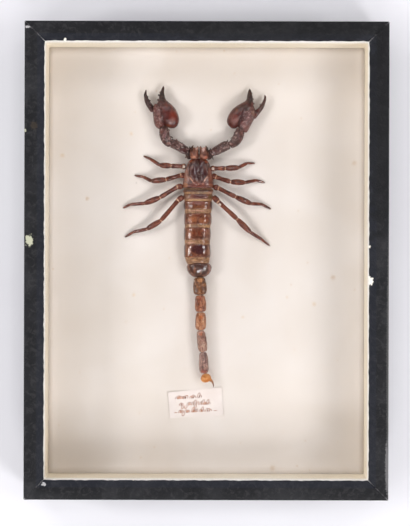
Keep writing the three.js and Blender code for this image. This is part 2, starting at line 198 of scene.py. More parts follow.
def shade(obj: Object, degrees: Optional[float] = None) -> None:
    """Shades a piece smooth, all over or up to an angle."""
    hold(obj)
    if degrees is None:
        bpy.ops.object.shade_smooth()
    else:
        bpy.ops.object.shade_smooth_by_angle(angle=math.radians(degrees))


def points_of(obj: Object) -> np.ndarray:
    """The places of a mesh's points, one row each."""
    flat = np.zeros(len(obj.data.vertices) * 3, np.float64)
    obj.data.vertices.foreach_get("co", flat)
    return flat.reshape(-1, 3)


def normals_of(obj: Object) -> np.ndarray:
    """The outward directions at a mesh's points, one row each."""
    flat = np.zeros(len(obj.data.vertices) * 3, np.float32)
    obj.data.vertex_normals.foreach_get("vector", flat)
    return flat.reshape(-1, 3).astype(np.float64)


def move_points(obj: Object, points: np.ndarray) -> None:
    """Puts a mesh's points at new places."""
    obj.data.vertices.foreach_set("co", points.astype(np.float32).ravel())
    obj.data.update()


def paint(obj: Object, name: str, values: np.ndarray) -> None:
    """Stores one number per point, which a finish can read by its name."""
    layer = obj.data.attributes.get(name) or obj.data.attributes.new(name, "FLOAT", "POINT")
    layer.data.foreach_set("value", values.astype(np.float32))


def present(obj: Object, slot: str, *nodes: str) -> Object:
    """Puts a finished piece on the body and hides the nodes it stands for."""
    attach(obj, BODY)
    if nodes:
        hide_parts(*nodes)
    LOG.info("%s: %d points, %d faces", obj.name, len(obj.data.vertices), len(obj.data.polygons))
    return obj


def complete(obj: Object, slot: str, node: str, finish: Optional[bpy.types.Material],
             *reliefs: tuple[Relief, float, float]) -> Object:
    """Gives a grown piece its fine relief, shading and finish, and puts it on the body.

    Args:
        obj: The piece.
        slot: The slot that its finish belongs to; not used.
        node: The node that it stands for.
        finish: Its finish, unless its parts brought theirs.
        *reliefs: The kind, whole depth and grain width of each relief, in order.

    Returns:
        The piece.
    """
    for relief in reliefs:
        roughen(obj, *relief)
    shade(obj)
    if finish:
        obj.data.materials.append(finish)
    return present(obj, slot, node)


# Skins: closed tubes that are extruded ring by ring along a limb or a body.


def angles(count: int, shift: float = 0.0) -> list[float]:
    """Equal steps around a ring, shifted by a share of one step."""
    return [2 * math.pi * (k + shift) / count for k in range(count)]


def bulge(part: float, power: float) -> float:
    """A sine or cosine raised to a power, with its sign kept."""
    return math.copysign(abs(part) ** power, part)


def skin(name: str, rings: Sequence[Ring]) -> Object:
    """Extrudes a filled circle through rings of equal count, into one closed skin.

    Args:
        name: The new object's name.
        rings: The rings in order, in metres.

    Returns:
        The skin as an object.
    """
    obj = begin(name, bpy.ops.mesh.primitive_circle_add, vertices=len(rings[0]), radius=MM, fill_type="NGON")
    mesh = open_mesh(obj)
    bpy.ops.mesh.select_all(action="SELECT")
    for vertex, place in zip(mesh.verts, rings[0]):
        vertex.co = place
    bmesh.update_edit_mesh(obj.data)
    for before, after in zip(rings, rings[1:]):
        step = sum(after, Vector()) / len(after) - sum(before, Vector()) / len(before)
        bpy.ops.mesh.extrude_region_move(TRANSFORM_OT_translate={"value": step})
        mesh = bmesh.from_edit_mesh(obj.data)
        for vertex in [v for v in mesh.verts if v.select]:
            start = vertex.co - step
            nearest = min(range(len(before)), key=lambda k: (before[k] - start).length_squared)
            vertex.co = after[nearest]
        bmesh.update_edit_mesh(obj.data)
    bpy.ops.mesh.select_all(action="SELECT")
    bpy.ops.mesh.normals_make_consistent(inside=False)
    close_mesh()
    return obj


class Section(Enum):
    """The forms that a limb has across, as a share of its half sizes by angle."""

    OVAL = "oval"
    KEELED = "keeled"
    ANGULAR = "angular"

    def reach(self, angle: float) -> float:
        """How far the outline reaches at an angle from the limb's side."""
        if self is Section.OVAL:
            return 1.0
        if self is Section.ANGULAR:
            power = 3.2
            bulk = abs(math.cos(angle)) ** power + abs(math.sin(angle)) ** power
            return 0.93 * bulk ** (-1 / power)
        keels = (42, 138, 8, 172, -32, -148, -68, -112)
        gaps = [abs(math.degrees(angle) - keel) % 360 for keel in keels]
        nearest = min(min(gap, 360 - gap) for gap in gaps)
        return 0.92 + 0.11 * math.exp(-(nearest / 9) ** 2)


def smooth_stations(stations: Sequence[Station], steps: int) -> list[Station]:
    """Adds stations between the given ones, on a curve through all of them.

    Args:
        stations: The given stations.
        steps: How many steps each gap is parted into.

    Returns:
        The stations, with the new ones among them.
    """
    rows = np.array(stations, float)
    padded = np.vstack([2 * rows[0] - rows[1], rows, 2 * rows[-1] - rows[-2]])
    result = []
    for i in range(len(rows) - 1):
        p0, p1, p2, p3 = padded[i:i + 4]
        for t in np.arange(steps) / steps:
            bend = 2 * p0 - 5 * p1 + 4 * p2 - p3
            twist = -p0 + 3 * p1 - 3 * p2 + p3
            result.append(tuple(0.5 * (2 * p1 + (p2 - p0) * t + bend * t * t + twist * t ** 3)))
    result.append(tuple(rows[-1]))
    return result


@dataclass(frozen=True)
class Ground:
    """Where the scorpion's own millimetres start, in metres."""

    start: Vector

    def at(self, x: float, y: float, z: float) -> Vector:
        """A place in metres, from the scorpion's own millimetres."""
        return self.start + Vector((x, y, z)) * MM


GROUND = Ground(Vector((-4.75 * MM, 40.25 * MM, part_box("lining_board")[1].z)))


def limb_rings(stations: Sequence[Station], sides: int, section: Section) -> list[Ring]:
    """Rings square to the line through a limb's stations.

    Args:
        stations: Each is x, y, z, half width and half height, in millimetres.
        sides: The number of points in a ring.
        section: The limb's form across.

    Returns:
        One ring for each station, in metres.
    """
    up = Vector((0, 0, 1))
    places = [Vector(station[:3]) for station in stations]
    rings = []
    for i, (_, _, _, half_width, half_height) in enumerate(stations):
        ahead = (places[min(i + 1, len(places) - 1)] - places[max(i - 1, 0)]).normalized()
        across = ahead.cross(up).normalized()
        rise = across.cross(ahead)
        ring = []
        for angle in angles(sides, 0.5):
            reach = section.reach(angle)
            point = places[i] + across * (math.cos(angle) * half_width * reach)
            ring.append(GROUND.at(*(point + rise * (math.sin(angle) * half_height * reach))))
        rings.append(ring)
    return rings


def limb(name: str, stations: Sequence[Station], sides: int = 16, section: Section = Section.OVAL,
         steps: int = 3) -> Object:
    """One limb piece, skinned through its stations and rounded.

    Args:
        name: The new object's name.
        stations: Each is x, y, z, half width and half height, in millimetres.
        sides: The number of points in a ring.
        section: The limb's form across.
        steps: How many steps each gap between stations is parted into.

    Returns:
        The piece.
    """
    obj = skin(name, limb_rings(smooth_stations(stations, steps), sides, section))
    subdivide_surface(obj, 1)
    return obj


def slices(name: str, rows: Sequence[Station], sides: int = 28) -> Object:
    """One closed form, skinned through upright slices across the scorpion's length.

    Args:
        name: The new object's name.
        rows: Each is y, the left and the right x, the half height and the middle's height, in millimetres.
        sides: The number of points in a ring.

    Returns:
        The form.
    """
    fullness, steps = 0.87, 3
    rings = []
    for y, left, right, half_height, middle in smooth_stations(rows, steps):
        ring = []
        for angle in angles(sides, 0.5):
            x = (left + right + (right - left) * bulge(math.cos(angle), fullness)) / 2
            ring.append(GROUND.at(x, y, middle + half_height * bulge(math.sin(angle), fullness)))
        rings.append(ring)
    return skin(name, rings)


def lump(name: str, centre: Station, halves: Station, lean: float = 0.0, rings: int = 24) -> Object:
    """An egg-shaped lump, its length along +Y before it leans about Z.

    Args:
        name: The new object's name.
        centre: Its middle, in millimetres.
        halves: Its half sizes, in millimetres.
        lean: How far it turns anticlockwise, in degrees.
        rings: The number of rings from pole to pole.

    Returns:
        The lump.
    """
    obj = begin(name, bpy.ops.mesh.primitive_uv_sphere_add, segments=2 * rings, ring_count=rings, radius=MM)
    turn = Matrix.Rotation(math.radians(lean), 4, "Z") @ Matrix.Diagonal((*halves, 1))
    obj.data.transform(Matrix.Translation(GROUND.at(*centre)) @ turn)
    return obj


@dataclass(frozen=True)
class Stroke:
    """One pull of a modelling tool over a piece's back, in the scorpion's millimetres."""

    start: tuple[float, float]
    end: tuple[float, float]
    width: float
    height: float

    def weight(self, points: np.ndarray) -> np.ndarray:
        """How strongly the stroke works at each point, from 0 to 1."""
        first = np.array(GROUND.at(*self.start, 0))[:2]
        run = np.array(GROUND.at(*self.end, 0))[:2] - first
        along = np.clip((points[:, :2] - first) @ run / max(run @ run, 1e-12), 0, 1)
        gap = np.linalg.norm(points[:, :2] - first - along[:, None] * run, axis=1)
        return np.exp(-(gap / (self.width * MM)) ** 2)


def sculpt(obj: Object, strokes: Sequence[Stroke]) -> None:
    """Works strokes into the upper side of a piece."""
    points, normals = points_of(obj), normals_of(obj)
    facing = np.clip(normals[:, 2] * 2.5, 0, 1)
    depth = np.zeros(len(points))
    for stroke in strokes:
        depth += stroke.weight(points) * facing * stroke.height * MM
    move_points(obj, points + normals * depth[:, None])


# Finishes: every material is a small class that lays out its own nodes.


def fill_ramp(node: bpy.types.Node, stops: Sequence[tuple[float, Colour]]) -> None:
    """Gives a colour ramp its stops."""
    elements = node.color_ramp.elements
    while len(elements) < len(stops):
        elements.new(0.5)
    for element, (position, colour) in zip(elements, stops):
        element.position = position
        element.color = (*colour, 1)


class Shader:
    """A material's node sheet, with short calls for what the finishes use."""

    def __init__(self, name: str) -> None:
        """Starts a material of that name with one principled shader."""
        self.material = bpy.data.materials.new(name)
        self.material.use_nodes = True
        self.tree = self.material.node_tree
        self.principled = self.tree.nodes["Principled BSDF"]
        coordinates = self.node("ShaderNodeTexCoord")
        scale = self.node("ShaderNodeVectorMath", operation="SCALE")
        scale.inputs["Scale"].default_value = 1 / MM
        self.link(coordinates.outputs["Object"], scale.inputs[0])
        self.place: Socket = scale.outputs[0]

    def node(self, kind: str, **settings: object) -> bpy.types.Node:
        """Adds a node with its settings."""
        node = self.tree.nodes.new(kind)
        for name, value in settings.items():
            setattr(node, name, value)
        return node

    def link(self, source: object, target: Socket) -> None:
        """Links a socket to another, or sets a plain value on it."""
        if isinstance(source, bpy.types.NodeSocket):
            self.tree.links.new(source, target)
        elif target.type == "RGBA":
            target.default_value = (*source, 1)
        else:
            target.default_value = source

    def noise(self, size: float, detail: float = 4, rough: float = 0.55, warp: float = 0,
              place: Optional[Socket] = None) -> Socket:
        """Cloudy noise with features of about that size, in millimetres."""
        node = self.node("ShaderNodeTexNoise")
        for name, value in (("Scale", 1 / size), ("Detail", detail), ("Roughness", rough),
                            ("Distortion", warp)):
            node.inputs[name].default_value = value
        self.link(place or self.place, node.inputs["Vector"])
        return node.outputs["Fac"]

    def cells(self, size: float, feature: str = "F1") -> Socket:
        """The distance pattern of cells of about that size, in millimetres."""
        node = self.node("ShaderNodeTexVoronoi", feature=feature)
        node.inputs["Scale"].default_value = 1 / size
        self.link(self.place, node.inputs["Vector"])
        return node.outputs["Distance"]

    def attribute(self, name: str) -> Socket:
        """The number that a piece stores at its points under that name."""
        return self.node("ShaderNodeAttribute", attribute_name=name).outputs["Fac"]

    def math(self, operation: str, first: object, second: object = 0.0) -> Socket:
        """One sum of two sockets or values."""
        node = self.node("ShaderNodeMath", operation=operation)
        self.link(first, node.inputs[0])
        self.link(second, node.inputs[1])
        return node.outputs[0]

    def remap(self, value: object, low: float, high: float, start: float = 0.0,
              end: float = 1.0) -> Socket:
        """A value eased from one range into another, held at its ends."""
        node = self.node("ShaderNodeMapRange", interpolation_type="SMOOTHSTEP")
        for name, number in (("From Min", low), ("From Max", high), ("To Min", start), ("To Max", end)):
            node.inputs[name].default_value = number
        self.link(value, node.inputs["Value"])
        return node.outputs[0]

    def ramp(self, value: Socket, stops: Sequence[tuple[float, Colour]]) -> Socket:
        """A colour read from stops along a value."""
        node = self.node("ShaderNodeValToRGB")
        fill_ramp(node, stops)
        self.link(value, node.inputs[0])
        return node.outputs[0]

    def blend(self, share: object, first: object, second: object, mode: str = "MIX") -> Socket:
        """Two colours mixed by a share."""
        node = self.node("ShaderNodeMix", data_type="RGBA", blend_type=mode)
        self.link(share, node.inputs[0])
        self.link(first, node.inputs[6])
        self.link(second, node.inputs[7])
        return node.outputs[2]

    def axis(self, letter: str) -> Socket:
        """One axis of the place, in millimetres."""
        node = self.node("ShaderNodeSeparateXYZ")
        self.link(self.place, node.inputs[0])
        return node.outputs[letter]

    def spot(self, centre: tuple[float, float], halves: tuple[float, float], soft: float = 0.5,
             wobble: float = 0.0, turn: float = 0.0) -> Socket:
        """A soft oval place, 1 in its middle and 0 outside it.

        Args:
            centre: Its middle in X and Y, in the frame's millimetres.
            halves: Its half sizes in X and Y, in millimetres.
            soft: The share of its reach over which it fades.
            wobble: How far its edge strays, as a share of its size.
            turn: How far it is turned clockwise, in degrees.

        Returns:
            The place's share.
        """
        move = self.node("ShaderNodeVectorMath", operation="SUBTRACT")
        move.inputs[1].default_value = (*centre, 0)
        self.link(self.place, move.inputs[0])
        spin = self.node("ShaderNodeVectorRotate", rotation_type="Z_AXIS")
        spin.inputs["Angle"].default_value = math.radians(turn)
        self.link(move.outputs[0], spin.inputs["Vector"])
        size = self.node("ShaderNodeVectorMath", operation="MULTIPLY")
        size.inputs[1].default_value = (1 / halves[0], 1 / halves[1], 0)
        self.link(spin.outputs[0], size.inputs[0])
        length = self.node("ShaderNodeVectorMath", operation="LENGTH")
        self.link(size.outputs[0], length.inputs[0])
        reach: Socket = length.outputs["Value"]
        if wobble:
            stray = self.remap(self.noise(min(halves) * 0.6, 3), 0, 1, -wobble, wobble)
            reach = self.math("ADD", reach, stray)
        return self.remap(reach, 1 - soft, 1, 1, 0)

    def surface(self, colour: object, roughness: object, height: Optional[Socket] = None,
                depth: float = 0.1, strength: float = 1.0, **values: float) -> bpy.types.Material:
        """Fills in the principled shader and gives the finished material.

        Args:
            colour: The base colour, as a socket or a value.
            roughness: The roughness, as a socket or a value.
            height: What the bump follows, if there is one.
            depth: How deep the bump is, in millimetres.
            strength: How strongly the bump shows.
            **values: Plain values for the shader's other sockets, by their names.

        Returns:
            The material.
        """
        self.link(colour, self.principled.inputs["Base Color"])
        self.link(roughness, self.principled.inputs["Roughness"])
        for name, value in values.items():
            self.principled.inputs[name.replace("_", " ")].default_value = value
        if height is not None:
            bump = self.node("ShaderNodeBump")
            bump.inputs["Strength"].default_value = strength
            bump.inputs["Distance"].default_value = depth * MM
            self.link(height, bump.inputs["Height"])
            self.link(bump.outputs[0], self.principled.inputs["Normal"])
        return self.material


@dataclass(frozen=True)
class Mark:
    """A coloured place on the scorpion's back, in the scorpion's own millimetres."""

    x: float
    y: float
    half_x: float
    half_y: float
    colour: Colour
    strength: float = 1.0
    soft: float = 0.6
    turn: float = 0.0

    def lay(self, shader: Shader, under: Socket) -> Socket:
        """Lays the mark over a colour and gives the new colour."""
        centre = GROUND.at(self.x, self.y, 0) / MM
        share = shader.spot((centre.x, centre.y), (self.half_x, self.half_y), self.soft, 0.3, self.turn)
        return shader.blend(shader.math("MULTIPLY", share, self.strength), under, self.colour)


@dataclass(frozen=True)
class Cuticle:
    """The scorpion's hard skin: mottled and finely grained under its own polish."""

    name: str
    dark: Colour
    middle: Colour
    light: Colour
    roughness: float = 0.45
    coat: float = 0.6
    gloss: float = 0.1
    tint: Colour = (0.9, 0.76, 0.72)
    mottle: float = 2.2
    grains: float = 0.35
    grain_depth: float = 0.05
    marks: tuple[Mark, ...] = ()
    fleck: Optional[Colour] = None
    fleck_share: str = ""
    streaks: float = 0.0

    def material(self) -> bpy.types.Material:
        """Lays out the finish."""
        shader = Shader(self.name)
        cloud = shader.noise(self.mottle, 6, 0.62, 0.5)
        colour = shader.ramp(cloud, [(0.34, self.dark), (0.5, self.middle), (0.68, self.light)])
        for mark in self.marks:
            colour = mark.lay(shader, colour)
        stain = shader.noise(self.mottle * 0.4, 6, 0.75, 0.3)
        colour = shader.blend(shader.remap(stain, 0.5, 0.62, 0.0, 0.65), colour, self.dark)
        colour = shader.blend(shader.remap(stain, 0.34, 0.44, 0.45, 0.0), colour, self.light)
        if self.fleck:
            flecks = shader.remap(shader.noise(1.1, 4, 0.75), 0.54, 0.6, 0.0, 0.85)
            if self.fleck_share:
                flecks = shader.math("MULTIPLY", flecks, shader.attribute(self.fleck_share))
            colour = shader.blend(flecks, colour, self.fleck)
        if self.streaks:
            colour = self.streak(shader, colour)
        pores = shader.noise(self.grains * 1.2, 3, 0.7)
        colour = shader.blend(shader.remap(pores, 0.45, 0.7, 0.0, 0.5), colour, self.dark)
        colour = shader.blend(1.0, colour, self.tint, "MULTIPLY")
        grains = shader.cells(self.grains, "SMOOTH_F1")
        height = shader.math("ADD", shader.math("MULTIPLY", grains, -0.8), stain)
        rough = shader.remap(stain, 0.3, 0.7, self.roughness - 0.08, self.roughness + 0.16)
        return shader.surface(colour, rough, height, self.grain_depth, 0.8, Specular_IOR_Level=0.08,
                              Coat_Weight=self.coat, Coat_Roughness=self.gloss, Coat_IOR=1.6)

    def streak(self, shader: Shader, colour: Socket) -> Socket:
        """Lays dark and light streaks along the body's length over a colour."""
        stretch = shader.node("ShaderNodeVectorMath", operation="MULTIPLY")
        stretch.inputs[1].default_value = (1, 0.2, 1)
        shader.link(shader.place, stretch.inputs[0])
        streak = shader.noise(0.9, 4, 0.7, place=stretch.outputs[0])
        colour = shader.blend(shader.remap(streak, 0.52, 0.6, 0.0, self.streaks), colour, self.dark)
        return shader.blend(shader.remap(streak, 0.38, 0.46, self.streaks, 0.0), colour, self.light)


@dataclass(frozen=True)
class BlackPaper:
    """Rough black covering paper on board, grey with wear where hands rub it."""

    name: str = "case_black_paper"

    def material(self) -> bpy.types.Material:
        """Lays out the finish."""
        shader = Shader(self.name)
        pebbles = shader.cells(0.55, "SMOOTH_F1")
        cloud = shader.noise(18, 6, 0.6, 0.5)
        fibres = shader.noise(0.5, 4, 0.7)
        colour = shader.ramp(cloud, [(0.3, tone(34, 34, 37)), (0.6, tone(46, 46, 49)),
                                     (0.8, tone(56, 55, 57))])
        rub = shader.remap(shader.noise(5, 7, 0.75), 0.62, 0.72, 0, 0.35)
        colour = shader.blend(rub, colour, tone(92, 88, 84))
        height = shader.math("ADD", shader.math("MULTIPLY", pebbles, -1.0), fibres)
        return shader.surface(colour, 0.58, height, 0.12, 0.9, Specular_IOR_Level=0.2)


@dataclass(frozen=True)
class BindingTape:
    """Pebbled black binding, with its chips, scuffs and painted shade laid where they are seen."""

    name: str = "binding_tape_black"
    half_width: float = 99.0
    half_length: float = 130.0

    def material(self) -> bpy.types.Material:
        """Lays out the finish."""
        shader = Shader(self.name)
        cloud = shader.noise(26, 5, 0.6, 0.6)
        blotch = shader.noise(3.2, 6, 0.7, 0.8)
        colour = shader.ramp(cloud, [(0.35, tone(24, 24, 27)), (0.5, tone(30, 30, 33)),
                                     (0.65, tone(42, 42, 45))])
        colour = shader.blend(shader.remap(blotch, 0.48, 0.62, 0, 0.5), colour, tone(58, 57, 59))
        reach = shader.math("MAXIMUM", shader.math("ABSOLUTE", shader.axis("X")),
                            shader.math("SUBTRACT", shader.math("ABSOLUTE", shader.axis("Y")),
                                        self.half_length - self.half_width))
        lapped = shader.remap(reach, self.half_width - LAP_STEP[1], self.half_width - LAP_STEP[0], 0.4, 0)
        colour = shader.blend(lapped, colour, tone(36, 39, 50))
        colour = shader.blend(self.corner_wear(shader), colour, tone(128, 124, 128))
        # Lays the chips and scuffs, and the painted shade patches.
        for centre, halves, patch_tone, share in self.wear_and_painted_shade():
            place = shader.spot(centre, halves, 0.35, 0.55)
            colour = shader.blend(shader.math("MULTIPLY", place, share), colour, patch_tone)
        pebbles = shader.cells(0.8, "SMOOTH_F1")
        creases = shader.noise(2.4, 5, 0.65)
        height = shader.math("ADD", shader.math("MULTIPLY", pebbles, -0.9), creases)
        rough = shader.remap(blotch, 0.3, 0.7, 0.42, 0.62)
        return shader.surface(colour, rough, height, 0.2, 1.0, Specular_IOR_Level=0.16)

    def corner_wear(self, shader: Shader) -> Socket:
        """The pale, rubbed lines along the four mitres."""
        side = shader.math("ABSOLUTE", shader.axis("X"))
        end = shader.math("ABSOLUTE", shader.axis("Y"))
        lead = self.half_length - self.half_width
        off = shader.math("ABSOLUTE", shader.math("SUBTRACT", shader.math("SUBTRACT", end, side), lead))
        line = shader.remap(off, 0.1, 0.6, 0.85, 0)
        broken = shader.remap(shader.noise(1.6, 5, 0.8), 0.46, 0.62)
        return shader.math("MULTIPLY", line, broken)

    def wear_and_painted_shade(self) -> list[tuple[tuple[float, float], tuple[float, float], Colour, float]]:
        """The middles, half sizes, colours and shares of the chips and scuffs, of the painted shade over the
        upper right and head-end strips, and of two lighter grey strips down the right edge.
        """
        pale, cream, black = tone(196, 196, 172), tone(246, 240, 230), tone(24, 24, 26)
        return [
            # Painted shade: darker patches over the upper right strip and the head-end strip.
            ((94.0, 72.0), (9.0, 66.0), black, 0.6),
            ((40.0, 125.0), (84.0, 7.0), black, 0.5),
            # Lighter grey strips down the lower right edge.
            ((98.7, -58.0), (1.0, 78.0), tone(100, 98, 98), 0.55),
            ((98.5, -112.0), (1.5, 17.0), tone(124, 122, 124), 0.7),
            # Chips and scuffs.
            ((-96.3, 10.6), (2.6, 3.4), pale, 0.9),
            ((-98.7, 70.3), (0.9, 1.1), pale, 0.8),
            ((88.6, -10.8), (2.2, 2.9), cream, 1.0),
            ((88.4, 7.8), (0.8, 0.9), cream, 0.9),
            ((-77.0, 119.5), (0.9, 1.4), cream, 0.95),
            ((-97.4, 126.6), (1.7, 0.8), tone(190, 188, 190), 0.85),
            ((-39.3, -119.0), (0.6, 0.6), cream, 0.8),
            ((-88.0, -121.6), (1.5, 1.1), tone(190, 188, 190), 0.8),
            ((-93.6, 73.1), (2.6, 2.6), tone(60, 52, 44), 0.7),
        ]


@dataclass(frozen=True)
class CreamPaper:
    """Cream paper with a soft tooth, clouded by age, with its foxing where it lies."""

    name: str
    low: Colour
    high: Colour
    foxed: bool = False
    # Height in millimetres above which painted light lightens the paper, if any.
    painted_light_above: Optional[float] = None

    def material(self) -> bpy.types.Material:
        """Lays out the finish."""
        shader = Shader(self.name)
        cloud = shader.noise(45, 4, 0.5, 0.5)
        colour = shader.ramp(cloud, [(0.3, self.low), (0.7, self.high)])
        mottle = shader.noise(6, 5, 0.65)
        colour = shader.blend(shader.remap(mottle, 0.5, 0.75, 0, 0.25), colour, self.low)
        # Painted light: above this height the paper is blended towards near-white, so the upper walls read
        # lighter.
        if self.painted_light_above is not None:
            rise = shader.remap(shader.axis("Z"), self.painted_light_above, self.painted_light_above + 12)
            colour = shader.blend(rise, colour, tone(255, 253, 250))
        if self.foxed:
            colour = self.foxing(shader, colour)
        tooth = shader.noise(0.6, 5, 0.7)
        return shader.surface(colour, 0.9, tooth, 0.06, 0.6, Specular_IOR_Level=0.25)

    def foxing(self, shader: Shader, colour: Socket) -> Socket:
        """Lays the rusty age spots over the paper's colour."""
        brown = tone(196, 164, 128)
        faint = tone(214, 190, 160)
        spots = [
            ((-67.0, 34.7), 1.8, brown, 0.5), ((71.1, -9.2), 2.2, brown, 0.45),
            ((-40.7, -19.3), 1.5, faint, 0.6), ((60.4, -24.3), 2.0, faint, 0.5),
            ((20.5, -31.6), 1.4, faint, 0.5), ((37.4, -116.4), 2.4, brown, 0.4),
            ((-81.1, 58.8), 2.0, faint, 0.5), ((-42.4, 71.1), 1.6, faint, 0.6),
            ((45.3, -20.4), 1.2, faint, 0.5), ((82.9, 54.9), 2.2, brown, 0.35),
            ((-39.5, 43.6), 0.5, tone(120, 104, 92), 0.8),
        ]
        for centre, reach, stain, share in spots:
            place = shader.spot(centre, (reach, reach), 0.9, 0.35)
            colour = shader.blend(shader.math("MULTIPLY", place, share), colour, stain)
        specks = shader.remap(shader.cells(9), 0.0, 0.09, 0.55, 0)
        return shader.blend(specks, colour, brown)


@dataclass(frozen=True)
class LabelPaper:
    """Off-white writing paper, a little foxed."""

    name: str = "label_writing_paper"

    def material(self) -> bpy.types.Material:
        """Lays out the finish."""
        shader = Shader(self.name)
        cloud = shader.noise(7, 4, 0.6)
        paper = shader.ramp(cloud, [(0.3, tone(223, 211, 206)), (0.7, tone(232, 223, 219))])
        spots = shader.remap(shader.noise(1.1, 3), 0.68, 0.76, 0, 0.4)
        paper = shader.blend(spots, paper, tone(206, 180, 158))
        tooth = shader.noise(0.35, 5, 0.7)
        return shader.surface(paper, 0.85, tooth, 0.04, 0.5, Specular_IOR_Level=0.3)


@dataclass(frozen=True)
class FadedInk:
    """Old brown ink, paler where the pen ran dry."""

    name: str = "label_faded_ink"

    def material(self) -> bpy.types.Material:
        """Lays out the finish."""
        shader = Shader(self.name)
        wash = shader.ramp(shader.noise(1.6, 3), [(0.35, tone(104, 58, 38)), (0.65, tone(184, 114, 72))])
        return shader.surface(wash, 0.7)


@dataclass(frozen=True)
class WindowGlass:
    """Clear polished pane glass."""

    name: str = "window_glass_clear"
    ior: float = 1.5

    def material(self) -> bpy.types.Material:
        """Lays out the finish."""
        shader = Shader(self.name)
        return shader.surface((1.0, 1.0, 1.0), 0.0, IOR=self.ior, Transmission_Weight=1.0)


# The case.


@dataclass(frozen=True)
class Case:
    """The case's board frames, collar, lining, pane, binding and label."""

    corner: float = 0.7
    lining_corner: float = 0.15
    crease: float = 40
    lining_cuts: int = 60
    unevenness: float = 0.04
    turned_width: float = 1.2
    turned_height: float = 0.8
    strip: float = 0.5
    lap: float = 11.0
    stitch: float = 1.6
    sides: tuple[str, ...] = ("left", "right", "tail_end", "head_end")
    paper: BlackPaper = field(default_factory=BlackPaper)
    tape: BindingTape = field(default_factory=BindingTape)
    # Painted light: the collar's paper turns near-white towards its top.
    collar_paper: CreamPaper = CreamPaper("collar_cream_paper", tone(240, 228, 206), tone(246, 238, 222),
                                          painted_light_above=34)
    lining_paper: CreamPaper = CreamPaper("lining_cream_paper", tone(218, 208, 200), tone(228, 220, 215),
                                          foxed=True)

    def build(self) -> None:
        """Builds every piece of the case."""
        black = self.paper.material()
        self.tray(black)
        self.rim("lid_rim", "lid_wall", "case_paper", black)
        self.rim("collar", "collar", "collar_paper", self.collar_paper.material())
        self.lining()
        self.pane()
        binding = self.tape.material()
        for side in self.sides:
            self.binding(side, binding)

    def span(self, *nodes: str) -> tuple[Vector, Vector]:
        """The lowest and highest corners of several nodes together."""
        corners = [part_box(node) for node in nodes]
        low = Vector([min(c[0][axis] for c in corners) for axis in range(3)])
        high = Vector([max(c[1][axis] for c in corners) for axis in range(3)])
        return low, high

    def block(self, name: str, low: Vector, high: Vector) -> Object:
        """A plain block between two corners, as a start for a piece."""
        obj = begin(name, bpy.ops.mesh.primitive_cube_add, size=1)
        obj.data.transform(Matrix.Translation((low + high) / 2) @ Matrix.Diagonal((*(high - low), 1)))
        return obj

    def soften(self, obj: Object, offset: float, segments: int = 3) -> None:
        """Rounds a piece's sharp edges by a bevel, in millimetres."""
        apply_modifier(obj, "BEVEL", width=offset * MM, segments=segments, limit_method="ANGLE",
                       harden_normals=False)
        shade(obj, self.crease)

    def thickness(self, node: str) -> float:
        """The thickness of a wall that runs along Y."""
        low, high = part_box(node)
        return high.x - low.x

    def tray(self, black: bpy.types.Material) -> None:
        """The papered tray: its floor and four walls under one covering."""
        walls = [f"tray_wall_{side}" for side in self.sides]
        low, high = self.span("floor_board", *walls)
        tray = self.block("tray", low, high)
        pick_faces(tray, lambda face: face.normal.z > 0.5)
        bpy.ops.mesh.inset(thickness=self.thickness("tray_wall_left"))
        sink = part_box("floor_board")[1].z - high.z
        bpy.ops.mesh.extrude_region_move(TRANSFORM_OT_translate={"value": (0, 0, sink)})
        close_mesh()
        self.soften(tray, self.corner)
        tray.data.materials.append(black)
        present(tray, "case_paper", "floor_board", *walls)

    def rim(self, name: str, part: str, slot: str, finish: bpy.types.Material) -> None:
        """A papered frame, bridged from a block's two inset faces: the lid's, or the collar that it slides over.

        Args:
            name: The piece's name.
            part: The name of the four nodes that it stands for, without their sides.
            slot: The slot that its finish belongs to; not used.
            finish: Its finish.
        """
        nodes = [f"{part}_{side}" for side in self.sides]
        rim = self.block(name, *self.span(*nodes))
        pick_faces(rim, lambda face: abs(face.normal.z) > 0.5)
        bpy.ops.mesh.inset(thickness=self.thickness(f"{part}_left"))
        bpy.ops.mesh.bridge_edge_loops()
        bpy.ops.mesh.select_all(action="SELECT")
        bpy.ops.mesh.normals_make_consistent(inside=False)
        close_mesh()
        self.soften(rim, self.corner)
        rim.data.materials.append(finish)
        present(rim, slot, *nodes)

    def lining(self) -> None:
        """The papered pinning board, slightly uneven, its paper turned up against the collar."""
        low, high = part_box("lining_board")
        lining = self.block("lining", low, high)
        self.soften(lining, self.lining_corner)
        pick_faces(lining, lambda face: face.normal.z > 0.9)
        bpy.ops.mesh.subdivide(number_cuts=self.lining_cuts)
        close_mesh()
        points = points_of(lining)
        wave = np.sin(points[:, 0] * 71 + 1.3) * np.sin(points[:, 1] * 53 + 0.4) - 1
        top = points[:, 2] > high.z - 0.05 * MM
        points[:, 2] += np.where(top, wave * self.unevenness * MM, 0)
        walls = (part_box("collar_right")[0].x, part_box("collar_head_end")[0].y)
        turned = np.zeros(len(points), bool)
        for axis, wall in enumerate(walls):
            border = top & (np.abs(points[:, axis]) > wall - self.turned_width * MM)
            points[border, axis] = np.sign(points[border, axis]) * (wall - 0.02 * MM)
            turned |= border
        points[turned, 2] += self.turned_height * MM
        move_points(lining, points)
        lining.data.materials.append(self.lining_paper.material())
        present(lining, "lining_paper", "lining_board")

    def pane(self) -> None:
        """The glass, which stays as it is and takes its finish."""
        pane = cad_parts["glass_pane"]
        pane.data.materials.clear()
        pane.data.materials.append(WindowGlass().material())
        pane.visible_shadow = False
        pane.visible_diffuse = False

